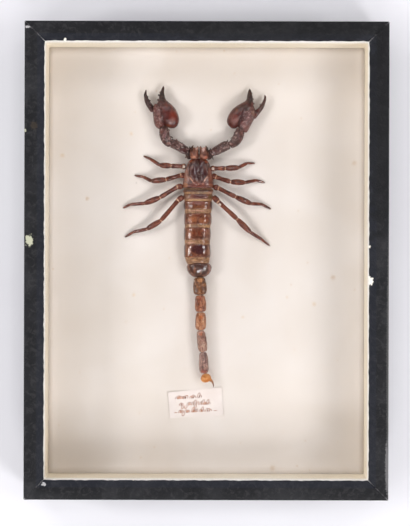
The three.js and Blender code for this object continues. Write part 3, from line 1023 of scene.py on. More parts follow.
    def binding(self, side: str, finish: bpy.types.Material) -> None:
        """One binding strip, lapped on the glass and turned down over the edge.

        Args:
            side: Which of the four sides it is on.
            finish: The binding's finish.
        """
        low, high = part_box(f"tape_{side}")
        outward = {"left": Vector((-1, 0, 0)), "right": Vector((1, 0, 0)),
                   "tail_end": Vector((0, -1, 0)), "head_end": Vector((0, 1, 0))}[side]
        along = Vector((abs(outward.y), abs(outward.x), 0))
        edge = max(low.dot(outward), high.dot(outward)) / MM
        reach = high.dot(along) / MM
        section = self.section(low.z / MM, high.z / MM)
        count = int(2 * reach / self.stitch)
        rings = []
        for i in range(count + 1):
            share = 2 * i / count - 1
            ring = []
            for inset, height in section:
                run = (reach - inset) * share
                place = outward * (edge - inset - self.stray(inset, run, reach, edge))
                ring.append((place + along * run + Vector((0, 0, height))) * MM)
            rings.append(ring)
        strip = skin(f"binding_{side}", rings)
        strip.data.materials.append(finish)
        shade(strip, self.crease)
        present(strip, "binding_tape", f"tape_{side}")

    def section(self, foot: float, top: float) -> list[tuple[float, float]]:
        """A strip's form across, as how far in and how high, in millimetres.

        Args:
            foot: The height of its lower edge.
            top: The height of its face.

        Returns:
            The form's points, once around.
        """
        under = top - self.strip
        return [(0.0, foot), (self.strip, foot), (self.strip, under), (self.lap, under),
                (self.lap - 0.05, under + 0.16), (self.lap - 0.4, under + 0.24), (LAP_STEP[1], under + 0.27),
                (LAP_STEP[0], top - 0.02), (0.7, top), (0.2, top - 0.16), (0.0, top - 0.6)]

    def stray(self, inset: float, run: float, reach: float, phase: float) -> float:
        """How far a strip's inner edge strays from a straight line, in millimetres.

        Args:
            inset: How far in from the outer edge the point lies.
            run: How far along the strip it lies.
            reach: Where the strip ends.
            phase: A number that makes each strip's edge its own.

        Returns:
            The stray, which grows towards the inner edge.
        """
        hold_back = min(1.0, max(0.0, (reach - abs(run) - inset) / 3))
        ragged = (0.1 * math.sin(run * 0.37 + phase) + 0.08 * math.sin(run * 1.13 + 2.1 * phase)
                  + 0.06 * math.sin(run * 2.9 + 0.7 * phase))
        return max(0.0, (inset - 9.8) / 1.2) * hold_back * (ragged - 0.22)


@dataclass(frozen=True)
class Label:
    """The hand-cut slip of paper, with three lines of plain looping pen strokes."""

    corners: tuple[tuple[float, float], ...] = ((-20.2, -88.5), (9.7, -87.0), (8.7, -71.0), (-21.4, -74.0))
    thickness: float = 0.16
    pen: float = 0.16
    letter: float = 1.6
    lines: tuple[tuple[float, float, float, int], ...] = (
        (3.6, 17.4, 10.6, 3), (5.6, 22.0, 6.7, 11), (2.6, 3.6, 2.9, 5), (5.0, 23.0, 2.7, 20),
        (24.6, 25.8, 3.0, 6))

    def build(self) -> Object:
        """Builds the slip, a little lifted at two corners, and writes on it."""
        slip = begin("slip", bpy.ops.mesh.primitive_grid_add, x_subdivisions=60, y_subdivisions=30, size=2)
        points = points_of(slip)
        u, v = (points[:, 0] + 1) / 2, (points[:, 1] + 1) / 2
        a, b, c, d = [np.array(corner) for corner in self.corners]
        flat = (np.outer((1 - u) * (1 - v), a) + np.outer(u * (1 - v), b) + np.outer(u * v, c)
                + np.outer((1 - u) * v, d))
        move_points(slip, np.column_stack([flat, self.height(flat)]) * MM)
        apply_modifier(slip, "SOLIDIFY", thickness=self.thickness * MM, offset=-1)
        slip.data.materials.append(LabelPaper().material())
        ink = FadedInk().material()
        lines = [self.line(i, *line) for i, line in enumerate(self.lines)]
        for line in lines:
            line.data.materials.append(ink)
        whole = join("label_slip", [slip, *lines])
        shade(whole, 60)
        return present(whole, "label_paper", "label")

    def height(self, places: np.ndarray) -> np.ndarray:
        """The paper's face over the lining at each place, in millimetres."""
        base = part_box("label")[0].z / MM + self.thickness + 0.05
        lift = np.zeros(len(places))
        for corner, reach, rise in ((3, 15.0, 1.1), (1, 8.0, 0.8), (0, 8.0, 0.5), (2, 12.0, 0.8)):
            gap = np.linalg.norm(places - np.array(self.corners[corner]), axis=1)
            lift += rise * np.clip(1 - gap / reach, 0, 1) ** 2
        return base + lift

    def line(self, number: int, start: float, end: float, foot: float, seed: int) -> Object:
        """One line of looping strokes that spell nothing, as a flattened tube.

        Args:
            number: The line's number.
            start: Where it starts, in millimetres from the slip's left edge.
            end: Where it ends.
            foot: How high its foot is above the slip's lower edge.
            seed: The number that its strokes' sizes are drawn from.

        Returns:
            The line's ink.
        """
        draw = np.random.default_rng(seed)
        a, b = np.array(self.corners[0]), np.array(self.corners[1])
        right = (b - a) / np.linalg.norm(b - a)
        up = np.array((-right[1], right[0]))
        curve = bpy.data.curves.new(f"ink_{number}", "CURVE")
        curve.dimensions = "3D"
        curve.bevel_depth = self.pen * MM
        curve.bevel_resolution = 1
        x = start
        size = self.letter if end - start > 2 else 0.1
        while x < end:
            word = []
            for _ in range(int(draw.integers(3, 8))):
                tall = size * float(draw.choice((0.8, 1.0, 1.15, 1.8, -1.1), p=(0.3, 0.25, 0.2, 0.17, 0.08)))
                wide = self.letter * float(draw.uniform(0.4, 0.75))
                for t in np.arange(12) / 12:
                    rise = tall * (1 - math.cos(2 * math.pi * t)) / 2
                    loop = 0.25 * size * math.sin(2 * math.pi * t)
                    word.append(a + right * (x + wide * t - loop + 0.35 * rise) + up * (foot + rise))
                x += wide
                if x > end:
                    break
            x += self.letter * float(draw.uniform(0.5, 1.0))
            spline = curve.splines.new("POLY")
            spline.points.add(len(word) - 1)
            heights = self.height(np.array(word))
            for point, place, height in zip(spline.points, word, heights):
                point.co = (place[0] * MM, place[1] * MM, height * MM, 1)
        ink = bpy.data.objects.new(f"ink_{number}", curve)
        bpy.context.scene.collection.objects.link(ink)
        hold(ink)
        bpy.ops.object.convert(target="MESH")
        ink = bpy.context.active_object
        points = points_of(ink)
        face = self.height(points[:, :2] / MM) * MM
        points[:, 2] = face + (points[:, 2] - face) * 0.12
        move_points(ink, points)
        return ink


# The scorpion.


@dataclass(frozen=True)
class BodyStation:
    """The body's size at one place along it, in millimetres."""

    y: float
    x: float
    half: float
    back: float
    belly: float

    def ring(self, sides: int) -> Ring:
        """The ring there: a domed back over a flatter belly."""
        middle = self.belly + (self.back - self.belly) * 0.42
        ring = []
        for angle in angles(sides):
            sine = math.sin(angle)
            reach = self.half * bulge(math.cos(angle), 0.75)
            rise = ((self.back - middle) * sine ** 0.85 if sine > 0
                    else (self.belly - middle) * abs(sine) ** 0.6)
            ring.append(GROUND.at(self.x + reach, self.y, middle + rise))
        return ring


def body_stations(rows: Sequence[Station], x: float, belly: float, steps: int) -> list[BodyStation]:
    """Body stations on a curve through rows of y, half width and back."""
    return [BodyStation(y, x, half, back, belly) for y, half, back in smooth_stations(rows, steps)]


@dataclass(frozen=True)
class Carapace:
    """The head and chest shield, its furrows and the eyes' hump."""

    rows: tuple[Station, ...] = (
        (0.2, 8.3, 8.6), (1.2, 8.7, 9.2), (2.8, 8.7, 9.7), (6.0, 8.2, 10.3), (9.5, 7.6, 10.6), (12.6, 6.8, 10.2),
        (14.9, 5.7, 9.4), (16.2, 4.5, 8.6), (16.8, 3.4, 8.0))
    finish: Cuticle = Cuticle(
        "carapace_cuticle", tone(44, 22, 24), tone(78, 44, 40), tone(128, 84, 70), roughness=0.3, coat=0.9,
        gloss=0.09, mottle=2.6, marks=(
            Mark(-7.0, 7.6, 2.2, 7.5, tone(160, 120, 104), 0.9),
            Mark(7.0, 7.6, 2.0, 7.0, tone(140, 84, 62), 0.8),
            Mark(-4.7, 15.6, 2.0, 1.7, tone(164, 86, 54), 0.9),
            Mark(5.2, 15.4, 2.0, 1.8, tone(180, 102, 70), 0.9),
            Mark(0.4, 1.8, 7.4, 1.8, tone(118, 58, 44), 0.85),
            Mark(-7.0, 1.8, 2.0, 1.8, tone(176, 130, 98), 0.9),
            Mark(7.2, 1.8, 1.8, 1.8, tone(136, 80, 54), 0.8),
            Mark(0.5, 10.0, 4.4, 7.2, tone(50, 15, 16), 0.9, 0.4),
            # Painted highlights: the two pale diagonal streaks near the rear.
            Mark(-3.8, 5.0, 0.6, 2.6, tone(220, 174, 152), 0.85, 0.6, -35),
            Mark(4.2, 5.2, 0.65, 2.7, tone(232, 200, 186), 0.9, 0.6, 35),
            *(Mark(x, y, half, 0.45, tone(214, 166, 148), 0.7)
              for x, y, half in ((-2.6, 3.2, 1.0), (0.2, 2.4, 0.9), (2.6, 2.5, 1.0))),
            Mark(4.6, 0.2, 4.4, 0.4, tone(194, 130, 112), 0.8),
        ))

    def build(self) -> Object:
        """Builds the shield and works its furrows."""
        stations = body_stations(self.rows, 0.1, 1.2, 4)
        shell = skin("shell", [station.ring(40) for station in stations])
        subdivide_surface(shell, 2)
        shields = [lump("shield", (0.3 + side * 2.1, 9.6, 9.2), (3.0, 6.6, 2.2), side * 5)
                   for side in (-1, 1)]
        eyes = [lump("eye", (0.35 + side * 0.42, 7.8, 11.5), (0.42, 0.5, 0.42), rings=12)
                for side in (-1, 1)]
        hump = lump("hump", (0.35, 7.8, 10.95), (0.95, 1.5, 0.85), rings=16)
        whole = fuse(join("carapace_shield", [shell, *shields, hump, *eyes]), 0.15, 3)
        sculpt(whole, self.furrows())
        return complete(whole, "shield_cuticle", "carapace", self.finish.material(),
                        (Relief.GRAIN, 0.16, 2.0), (Relief.GRAIN, 0.05, 0.5))

    def furrows(self) -> list[Stroke]:
        """The grooves and ridges on its back."""
        strokes = [
            Stroke((0.2, 17.0), (0.3, 13.4), 0.5, -0.6),
            Stroke((0.2, 12.6), (0.2, 10.6), 0.45, 0.3),
            Stroke((0.3, 6.6), (0.3, 2.4), 0.45, -0.5),
            Stroke((-8.4, 1.5), (8.5, 1.5), 0.4, -0.35),
        ]
        for side in (-1, 1):
            strokes += [
                Stroke((0.3 + side * 0.2, 2.2), (0.2 + side * 2.6, 3.6), 0.45, -0.45),
                Stroke((0.2 + side * 2.6, 3.6), (0.2 + side * 5.6, 6.6), 0.5, -0.4),
                Stroke((0.2 + side * 5.9, 7.0), (0.2 + side * 5.4, 13.0), 0.5, -0.4),
                Stroke((0.2 + side * 2.4, 8.0), (0.2 + side * 2.6, 13.6), 0.6, -0.3),
                Stroke((0.2 + side * 4.6, 6.8), (0.2 + side * 4.4, 13.6), 0.55, 0.42),
            ]
        return strokes


@dataclass(frozen=True)
class Plate:
    """One of the abdomen's back plates, in millimetres along the body."""

    rear: float
    front: float
    x: float
    half: float
    back: float


@dataclass(frozen=True)
class Abdomen:
    """The abdomen: seven plates over the paler skin that joins them."""

    belly: float = 0.1
    plates: tuple[Plate, ...] = (
        Plate(-1.9, -0.4, 0.0, 8.4, 8.9), Plate(-5.8, -3.1, 0.0, 8.2, 9.5), Plate(-11.5, -7.0, 0.0, 7.9, 10.2),
        Plate(-20.0, -13.7, -0.1, 7.6, 10.6), Plate(-28.7, -21.7, -0.4, 7.4, 10.6),
        Plate(-38.4, -31.0, -0.4, 7.3, 10.2))
    last_rows: tuple[Station, ...] = (
        (-49.5, 2.2, 6.2), (-49.0, 3.8, 7.2), (-47.6, 5.6, 8.3), (-45.6, 6.8, 9.2), (-43.6, 7.0, 9.7),
        (-42.4, 6.2, 9.8), (-41.6, 5.0, 9.4), (-41.3, 4.0, 8.9))

    def build(self) -> Object:
        """Builds the skin and the plates and joins them."""
        skin_part = self.core()
        skin_part.data.materials.append(self.membrane().material())
        plates = [self.plate(i, plate) for i, plate in enumerate(self.plates)]
        last = skin("plate", [s.ring(40) for s in body_stations(self.last_rows, 0.7, self.belly, 3)])
        subdivide_surface(last, 2)
        plates.append(last)
        finish = self.finish().material()
        for plate in plates:
            plate.data.materials.append(finish)
        whole = join("abdomen_plates_and_skin", [skin_part, *plates])
        return complete(whole, "abdomen_cuticle", "abdomen", None,
                        (Relief.GRAIN, 0.3, 2.2), (Relief.GRAIN, 0.12, 0.6))

    def core(self) -> Object:
        """The soft skin under the plates."""
        rows = [(-44.0, 6.0, 9.0)]
        xs = [0.3]
        for plate in reversed(self.plates):
            rows += [(plate.rear - 0.6, plate.half - 0.2, plate.back - 0.35),
                     (plate.front + 0.6, plate.half - 0.3, plate.back - 0.45)]
            xs += [plate.x, plate.x]
        rows.append((0.0, 7.6, 8.2))
        xs.append(0.0)
        stations = [BodyStation(y, x, half, back, self.belly + 0.2) for (y, half, back), x in zip(rows, xs)]
        core = skin("core", [station.ring(32) for station in stations])
        subdivide_surface(core, 2)
        return core

    def plate(self, index: int, plate: Plate) -> Object:
        """One plate as a closed hoop with rolled edges and a slight crown."""
        deep = plate.front - plate.rear
        rows = [(plate.rear + 0.25, -0.9, -0.9), (plate.rear, -0.35, -0.35), (plate.rear + 0.1, 0.0, 0.0),
                (plate.rear + 0.25 * deep, 0.12, 0.14), (plate.rear + 0.7 * deep, 0.1, 0.12),
                (plate.front - 0.1, -0.1, -0.12), (plate.front, -0.45, -0.4), (plate.front - 0.2, -0.9, -0.9)]
        stations = [BodyStation(y, plate.x, plate.half + w, plate.back + h, self.belly) for y, w, h in rows]
        hoop = skin(f"plate_{index}", [station.ring(40) for station in stations])
        subdivide_surface(hoop, 2)
        if index >= 2:
            y = plate.rear + 0.72 * deep
            sculpt(hoop, [Stroke((plate.x - 6.5, y), (plate.x + 6.5, y), 0.3, -0.16),
                          Stroke((plate.x, plate.rear), (plate.x, y), 0.5, 0.1),
                          Stroke((plate.x - 4.2, plate.rear), (plate.x - 4.2, y), 0.5, -0.12)])
        return hoop

    def membrane(self) -> Cuticle:
        """The finish of the skin between the plates."""
        gold, rose = tone(190, 148, 108), tone(196, 150, 136)
        return Cuticle("abdomen_skin", tone(100, 72, 54), tone(148, 112, 86), tone(186, 148, 118),
                       roughness=0.5, coat=0.3, gloss=0.2, tint=(1.0, 0.97, 0.92), mottle=1.5, marks=(
                           Mark(0.0, -6.5, 8.0, 0.8, gold, 0.8),
                           Mark(-5.6, -2.3, 2.2, 0.7, gold, 0.7),
                           Mark(1.4, -2.3, 3.4, 0.6, tone(136, 118, 100), 0.8),
                           Mark(6.6, -2.3, 1.6, 0.7, rose, 0.7),
                           Mark(0.4, -12.4, 6.6, 0.4, rose, 0.8),
                           Mark(-1.6, -21.3, 3.0, 0.9, tone(126, 106, 100), 0.7),
                           Mark(5.2, -21.2, 2.2, 1.0, gold, 0.7),
                           Mark(-4.0, -30.2, 3.6, 0.5, rose, 0.8),
                           Mark(4.2, -29.6, 3.0, 1.4, tone(118, 72, 52), 0.8),
                           Mark(0.0, -40.2, 7.0, 1.4, tone(118, 80, 58), 0.7),
                           Mark(-2.0, -40.0, 2.0, 0.7, gold, 0.7)))

    def finish(self) -> Cuticle:
        """The finish of the plates, from plate to plate as it is seen."""
        rust, umber, plum = tone(112, 52, 32), tone(62, 36, 30), tone(60, 30, 36)
        return Cuticle(
            "abdomen_plates", tone(70, 40, 32), tone(114, 70, 52), tone(146, 98, 72), roughness=0.32, coat=0.85,
            gloss=0.12, tint=(0.96, 0.86, 0.82), mottle=2.6, marks=(
                Mark(0.0, -1.0, 9.5, 1.3, tone(66, 46, 36), 0.9, 0.3),
                Mark(0.8, -4.5, 5.2, 1.8, tone(82, 46, 48), 0.9),
                Mark(-6.0, -4.6, 2.0, 1.6, tone(142, 110, 88), 0.8),
                Mark(6.7, -4.6, 1.4, 1.8, tone(98, 78, 44), 0.9),
                Mark(0.0, -8.2, 6.0, 1.5, tone(120, 70, 62), 0.85),
                Mark(-0.5, -10.6, 6.0, 0.9, tone(126, 78, 48), 0.7),
                Mark(7.2, -9.4, 0.9, 2.4, umber, 0.9), Mark(-7.6, -9.4, 0.8, 2.4, umber, 0.8),
                Mark(-3.4, -17.4, 3.2, 2.6, tone(156, 100, 66), 0.8),
                Mark(3.4, -18.2, 3.4, 1.9, tone(150, 94, 64), 0.7),
                Mark(-0.1, -15.2, 1.8, 1.0, rust, 0.9), Mark(5.2, -16.6, 1.5, 1.3, rust, 0.85),
                Mark(-6.8, -17.6, 0.9, 1.7, rust, 0.85),
                Mark(-4.4, -25.4, 2.6, 3.0, tone(146, 92, 64), 0.8),
                Mark(4.0, -23.6, 3.0, 1.3, tone(132, 74, 56), 0.7),
                Mark(-2.1, -25.0, 0.9, 2.4, rust, 0.9), Mark(0.7, -25.2, 1.0, 2.2, rust, 0.9),
                Mark(4.7, -28.2, 1.7, 1.1, tone(166, 134, 114), 0.9),
                Mark(0.6, -27.4, 6.0, 0.9, umber, 0.6),
                Mark(0.6, -34.0, 5.0, 3.3, plum, 0.95, 0.35), Mark(3.6, -32.6, 2.8, 1.6, plum, 0.8),
                Mark(-5.6, -35.0, 1.5, 3.6, tone(142, 96, 68), 0.8),
                Mark(5.8, -35.2, 1.3, 3.2, tone(142, 96, 68), 0.6),
                Mark(0.4, -38.0, 5.6, 0.9, tone(112, 70, 54), 0.7),
                Mark(-4.1, -38.2, 1.6, 0.6, tone(180, 104, 58), 0.8),
                Mark(0.6, -45.2, 6.6, 4.6, tone(62, 42, 38), 0.95, 0.3),
                Mark(6.6, -44.6, 0.9, 2.6, tone(150, 114, 112), 0.7),
                Mark(0.8, -49.0, 3.0, 0.6, tone(44, 28, 24), 0.9),
                Mark(-1.8, -45.6, 1.0, 3.0, tone(120, 76, 52), 0.8),
                Mark(1.6, -46.8, 0.7, 1.8, tone(132, 84, 56), 0.7),
                Mark(-7.4, -25.5, 0.5, 4.0, umber, 0.9), Mark(-7.4, -34.5, 0.5, 3.6, umber, 0.9),
            ))


@dataclass(frozen=True)
class TailPart:
    """One tail segment's two ends and half sizes, in millimetres, and its finish."""

    start: Station
    end: Station
    half: float
    height: float
    finish: Cuticle


def tail_finish(number: int, dark: Colour, middle: Colour, light: Colour, *marks: Mark) -> Cuticle:
    """The finish of one tail segment."""
    return Cuticle(f"tail_cuticle_{number}", dark, middle, light, roughness=0.36, coat=0.55,
                   tint=(0.97, 0.96, 0.93), mottle=1.6, grains=0.5, marks=marks, streaks=0.8)


@dataclass(frozen=True)
class Tail:
    """Five keeled segments, waisted at their ends, with a sting at the last."""

    profile: tuple[tuple[float, float], ...] = (
        (0.0, 0.5), (0.03, 0.66), (0.1, 0.84), (0.28, 0.96), (0.55, 1.03), (0.76, 1.02), (0.88, 0.95),
        (0.95, 0.8), (0.985, 0.6), (1.0, 0.42))
    parts: tuple[TailPart, ...] = (
        TailPart((0.9, -49.6, 4.6), (1.3, -59.4, 5.2), 3.75, 2.9,
                 tail_finish(1, tone(58, 30, 18), tone(108, 64, 36), tone(160, 108, 70),
                             Mark(1.1, -51.2, 2.1, 1.7, tone(206, 142, 92), 0.95),
                             Mark(-2.3, -51.7, 1.1, 1.0, tone(190, 178, 170), 0.9),
                             Mark(4.7, -51.7, 1.1, 1.0, tone(190, 178, 170), 0.9))),
        TailPart((1.3, -59.6, 5.2), (1.7, -68.9, 5.6), 3.15, 2.7,
                 tail_finish(2, tone(72, 34, 22), tone(136, 72, 44), tone(186, 134, 104),
                             Mark(1.5, -61.4, 1.2, 1.4, tone(150, 62, 36), 0.8),
                             Mark(1.7, -67.3, 1.3, 0.8, tone(206, 140, 112), 0.8))),
        TailPart((1.7, -69.1, 5.6), (1.6, -79.0, 5.8), 3.05, 2.7,
                 tail_finish(3, tone(98, 56, 36), tone(166, 102, 68), tone(208, 162, 130),
                             Mark(1.7, -71.8, 1.4, 2.4, tone(190, 98, 48), 0.7))),
        TailPart((1.6, -79.2, 5.8), (3.1, -91.2, 5.7), 2.7, 2.5,
                 tail_finish(4, tone(92, 60, 52), tone(150, 108, 94), tone(196, 160, 142),
                             Mark(1.8, -81.2, 1.6, 1.6, tone(176, 96, 66), 0.85))),
        TailPart((3.1, -91.4, 5.7), (3.6, -103.3, 5.2), 2.65, 2.3,
                 tail_finish(5, tone(80, 56, 54), tone(142, 106, 100), tone(190, 156, 142),
                             Mark(3.5, -102.0, 2.0, 1.4, tone(176, 86, 62), 0.85))),
    )

    def build(self) -> list[Object]:
        """Builds the five segments and the sting."""
        return [*(self.segment(i + 1, part) for i, part in enumerate(self.parts)), self.sting()]

    def segment(self, number: int, part: TailPart) -> Object:
        """One segment, keeled along its length."""
        start, end = np.array(part.start), np.array(part.end)
        stations = [(*(start + (end - start) * along), part.half * swell, part.height * swell)
                    for along, swell in self.profile]
        piece = limb(f"tail_{number}", stations, 32, Section.KEELED, 4)
        sculpt(piece, [Stroke((start[0], start[1] - 1), (end[0], end[1] + 1), 0.7, -0.4)])
        return complete(piece, "tail_cuticle", f"tail_segment_{number}", part.finish.material(),
                        (Relief.GRAIN, 0.34, 1.4), (Relief.GRANULES, 0.18, 0.7))

    def sting(self) -> Object:
        """The bulb with its bent, dark-tipped sting."""
        bulb = lump("bulb", (4.6, -105.9, 4.9), (2.95, 2.5, 2.4), 20, 24)
        thorn = limb("thorn", ((6.0, -106.3, 4.9, 1.4, 1.4), (7.2, -107.0, 4.9, 0.95, 0.95),
                               (8.2, -108.0, 4.7, 0.62, 0.62), (8.75, -109.4, 4.3, 0.42, 0.42),
                               (8.9, -111.3, 3.7, 0.16, 0.16)), 12)
        neck = limb("neck", ((3.5, -103.5, 5.1, 1.1, 1.1), (4.0, -104.6, 5.0, 1.9, 1.7)), 16)
        whole = fuse(join("sting_bulb", [bulb, thorn, neck]), 0.12, 3)
        sculpt(whole, [Stroke((3.6, -104.2), (5.4, -107.6), 0.4, -0.2)])
        finish = Cuticle("sting_cuticle", tone(166, 94, 42), tone(198, 130, 70), tone(222, 172, 118),
                         roughness=0.35, coat=0.5, tint=(1.0, 1.0, 1.0), mottle=2.0, grain_depth=0.02,
                         marks=(Mark(7.9, -107.9, 1.3, 1.4, tone(120, 72, 48), 0.85),
                                Mark(8.9, -110.2, 1.5, 2.6, tone(74, 48, 50), 1.0)))
        return complete(whole, "sting_cuticle", "telson", finish.material())


@dataclass(frozen=True)
class Jaw:
    """One jaw: a short barrel with a fixed and a moving finger."""

    side: str
    barrel: tuple[Station, ...]
    fingers: tuple[tuple[Station, ...], ...]

    def build(self, finish: bpy.types.Material) -> Object:
        """Builds the jaw in one skin."""
        barrel = limb("barrel", self.barrel, 20)
        fingers = [limb("jaw_finger", finger, 12) for finger in self.fingers]
        whole = fuse(join(f"jaw_piece_{self.side}", [barrel, *fingers]), 0.13, 2)
        return complete(whole, "jaw_cuticle", f"jaw_{self.side}", finish,
                        (Relief.GRAIN, 0.5, 1.3), (Relief.GRANULES, 0.2, 0.7))


JAWS = (
    Jaw("left", ((-2.0, 16.6, 7.0, 1.9, 1.8), (-2.1, 18.0, 7.6, 2.55, 2.3), (-2.1, 19.6, 7.7, 2.65, 2.3),
                 (-1.9, 21.2, 7.3, 2.35, 1.9), (-1.6, 22.6, 6.8, 1.6, 1.3)),
        (((-3.2, 20.0, 7.0, 1.1, 1.0), (-3.7, 21.8, 6.8, 0.85, 0.8), (-3.3, 23.2, 6.4, 0.6, 0.6),
          (-2.5, 24.4, 6.0, 0.2, 0.2)),
         ((-0.8, 20.2, 7.2, 1.1, 1.0), (-0.35, 22.2, 7.0, 0.78, 0.75), (-0.2, 23.8, 6.4, 0.3, 0.3)))),
    Jaw("right", ((3.1, 16.6, 7.0, 1.9, 1.8), (3.2, 18.0, 7.6, 2.55, 2.3), (3.2, 19.6, 7.7, 2.6, 2.3),
                  (3.1, 21.2, 7.3, 2.35, 1.9), (2.8, 22.8, 6.8, 1.6, 1.3)),
        (((4.3, 20.0, 7.0, 1.1, 1.0), (5.0, 21.4, 6.8, 0.85, 0.8), (4.8, 22.8, 6.4, 0.6, 0.6),
          (4.0, 24.0, 6.0, 0.2, 0.2)),
         ((2.0, 20.2, 7.2, 1.1, 1.0), (1.35, 22.2, 7.0, 0.78, 0.75), (1.3, 23.9, 6.4, 0.3, 0.3)))),
)


@dataclass(frozen=True)
class Arm:
    """One arm: a hip, an upper and a lower piece, and a broad hand with two fingers."""

    side: str
    hip: tuple[Station, ...]
    upper: tuple[Station, ...]
    lower: tuple[Station, ...]
    palm: tuple[Station, ...]
    lobe: tuple[Station, ...]
    moving: tuple[Station, ...]
    hip_thorns: tuple[Station, ...]
    upper_thorns: tuple[Station, ...]
    lower_thorns: tuple[Station, ...]
    palm_teeth: tuple[Station, ...]
    moving_teeth: tuple[Station, ...]
    groove: tuple[Stroke, ...]
    lobe_line: Stroke

    def build(self, hip: bpy.types.Material, arm: bpy.types.Material, hand: bpy.types.Material) -> None:
        """Builds the arm's five pieces."""
        self.piece("arm_hip", self.hip, self.hip_thorns, hip)
        self.piece("arm_upper", self.upper, self.upper_thorns, arm)
        self.piece("arm_lower", self.lower, self.lower_thorns, arm)
        self.hand(hand)
        self.finger(hand)

    def thorns(self, places: Sequence[Station]) -> list[Object]:
        """Small blunt thorns, each by its place, its half width, its half length and its lean."""
        return [lump("thorn", (x, y, z), (wide, long, wide), lean, 10)
                for x, y, z, wide, long, lean in places]

    def piece(self, name: str, stations: Sequence[Station], thorns: Sequence[Station],
              finish: bpy.types.Material) -> Object:
        """One angular, granular arm piece with its thorns.

        Args:
            name: The node's name without its side.
            stations: The piece's stations.
            thorns: The thorns on it.
            finish: Its finish.

        Returns:
            The piece.
        """
        parts = [limb(f"{name}_part", stations, 24, Section.ANGULAR, 4), *self.thorns(thorns)]
        whole = fuse(join(f"{name}_piece_{self.side}", parts), 0.15, 2)
        return complete(whole, "arm_cuticle", f"{name}_{self.side}", finish,
                        (Relief.GRANULES, 0.42, 0.85), (Relief.GRAIN, 0.2, 0.4))

    def hand(self, finish: bpy.types.Material) -> Object:
        """The hand: palm, outer lobe and fixed finger in one skin, the lobe set with granules."""
        parts = [slices("palm", self.palm), slices("lobe", self.lobe), *self.thorns(self.palm_teeth)]
        whole = fuse(join(f"hand_piece_{self.side}", parts), 0.16, 4)
        sculpt(whole, self.groove)
        least = 0.25
        granular = np.clip(self.lobe_line.weight(points_of(whole)) * 1.3, least, 1)
        paint(whole, "granules", (granular - least) / (1 - least))
        roughen(whole, Relief.GRANULES, 0.4, 0.9, granular)
        return complete(whole, "hand_cuticle", f"hand_{self.side}", finish, (Relief.GRAIN, 0.22, 1.1))

    def finger(self, finish: bpy.types.Material) -> Object:
        """The moving finger with its teeth."""
        parts = [slices("moving", self.moving, 24), *self.thorns(self.moving_teeth)]
        whole = fuse(join(f"finger_piece_{self.side}", parts), 0.13, 2)
        return complete(whole, "hand_cuticle", f"finger_{self.side}", finish,
                        (Relief.GRANULES, 0.16, 0.7), (Relief.GRAIN, 0.14, 0.5))


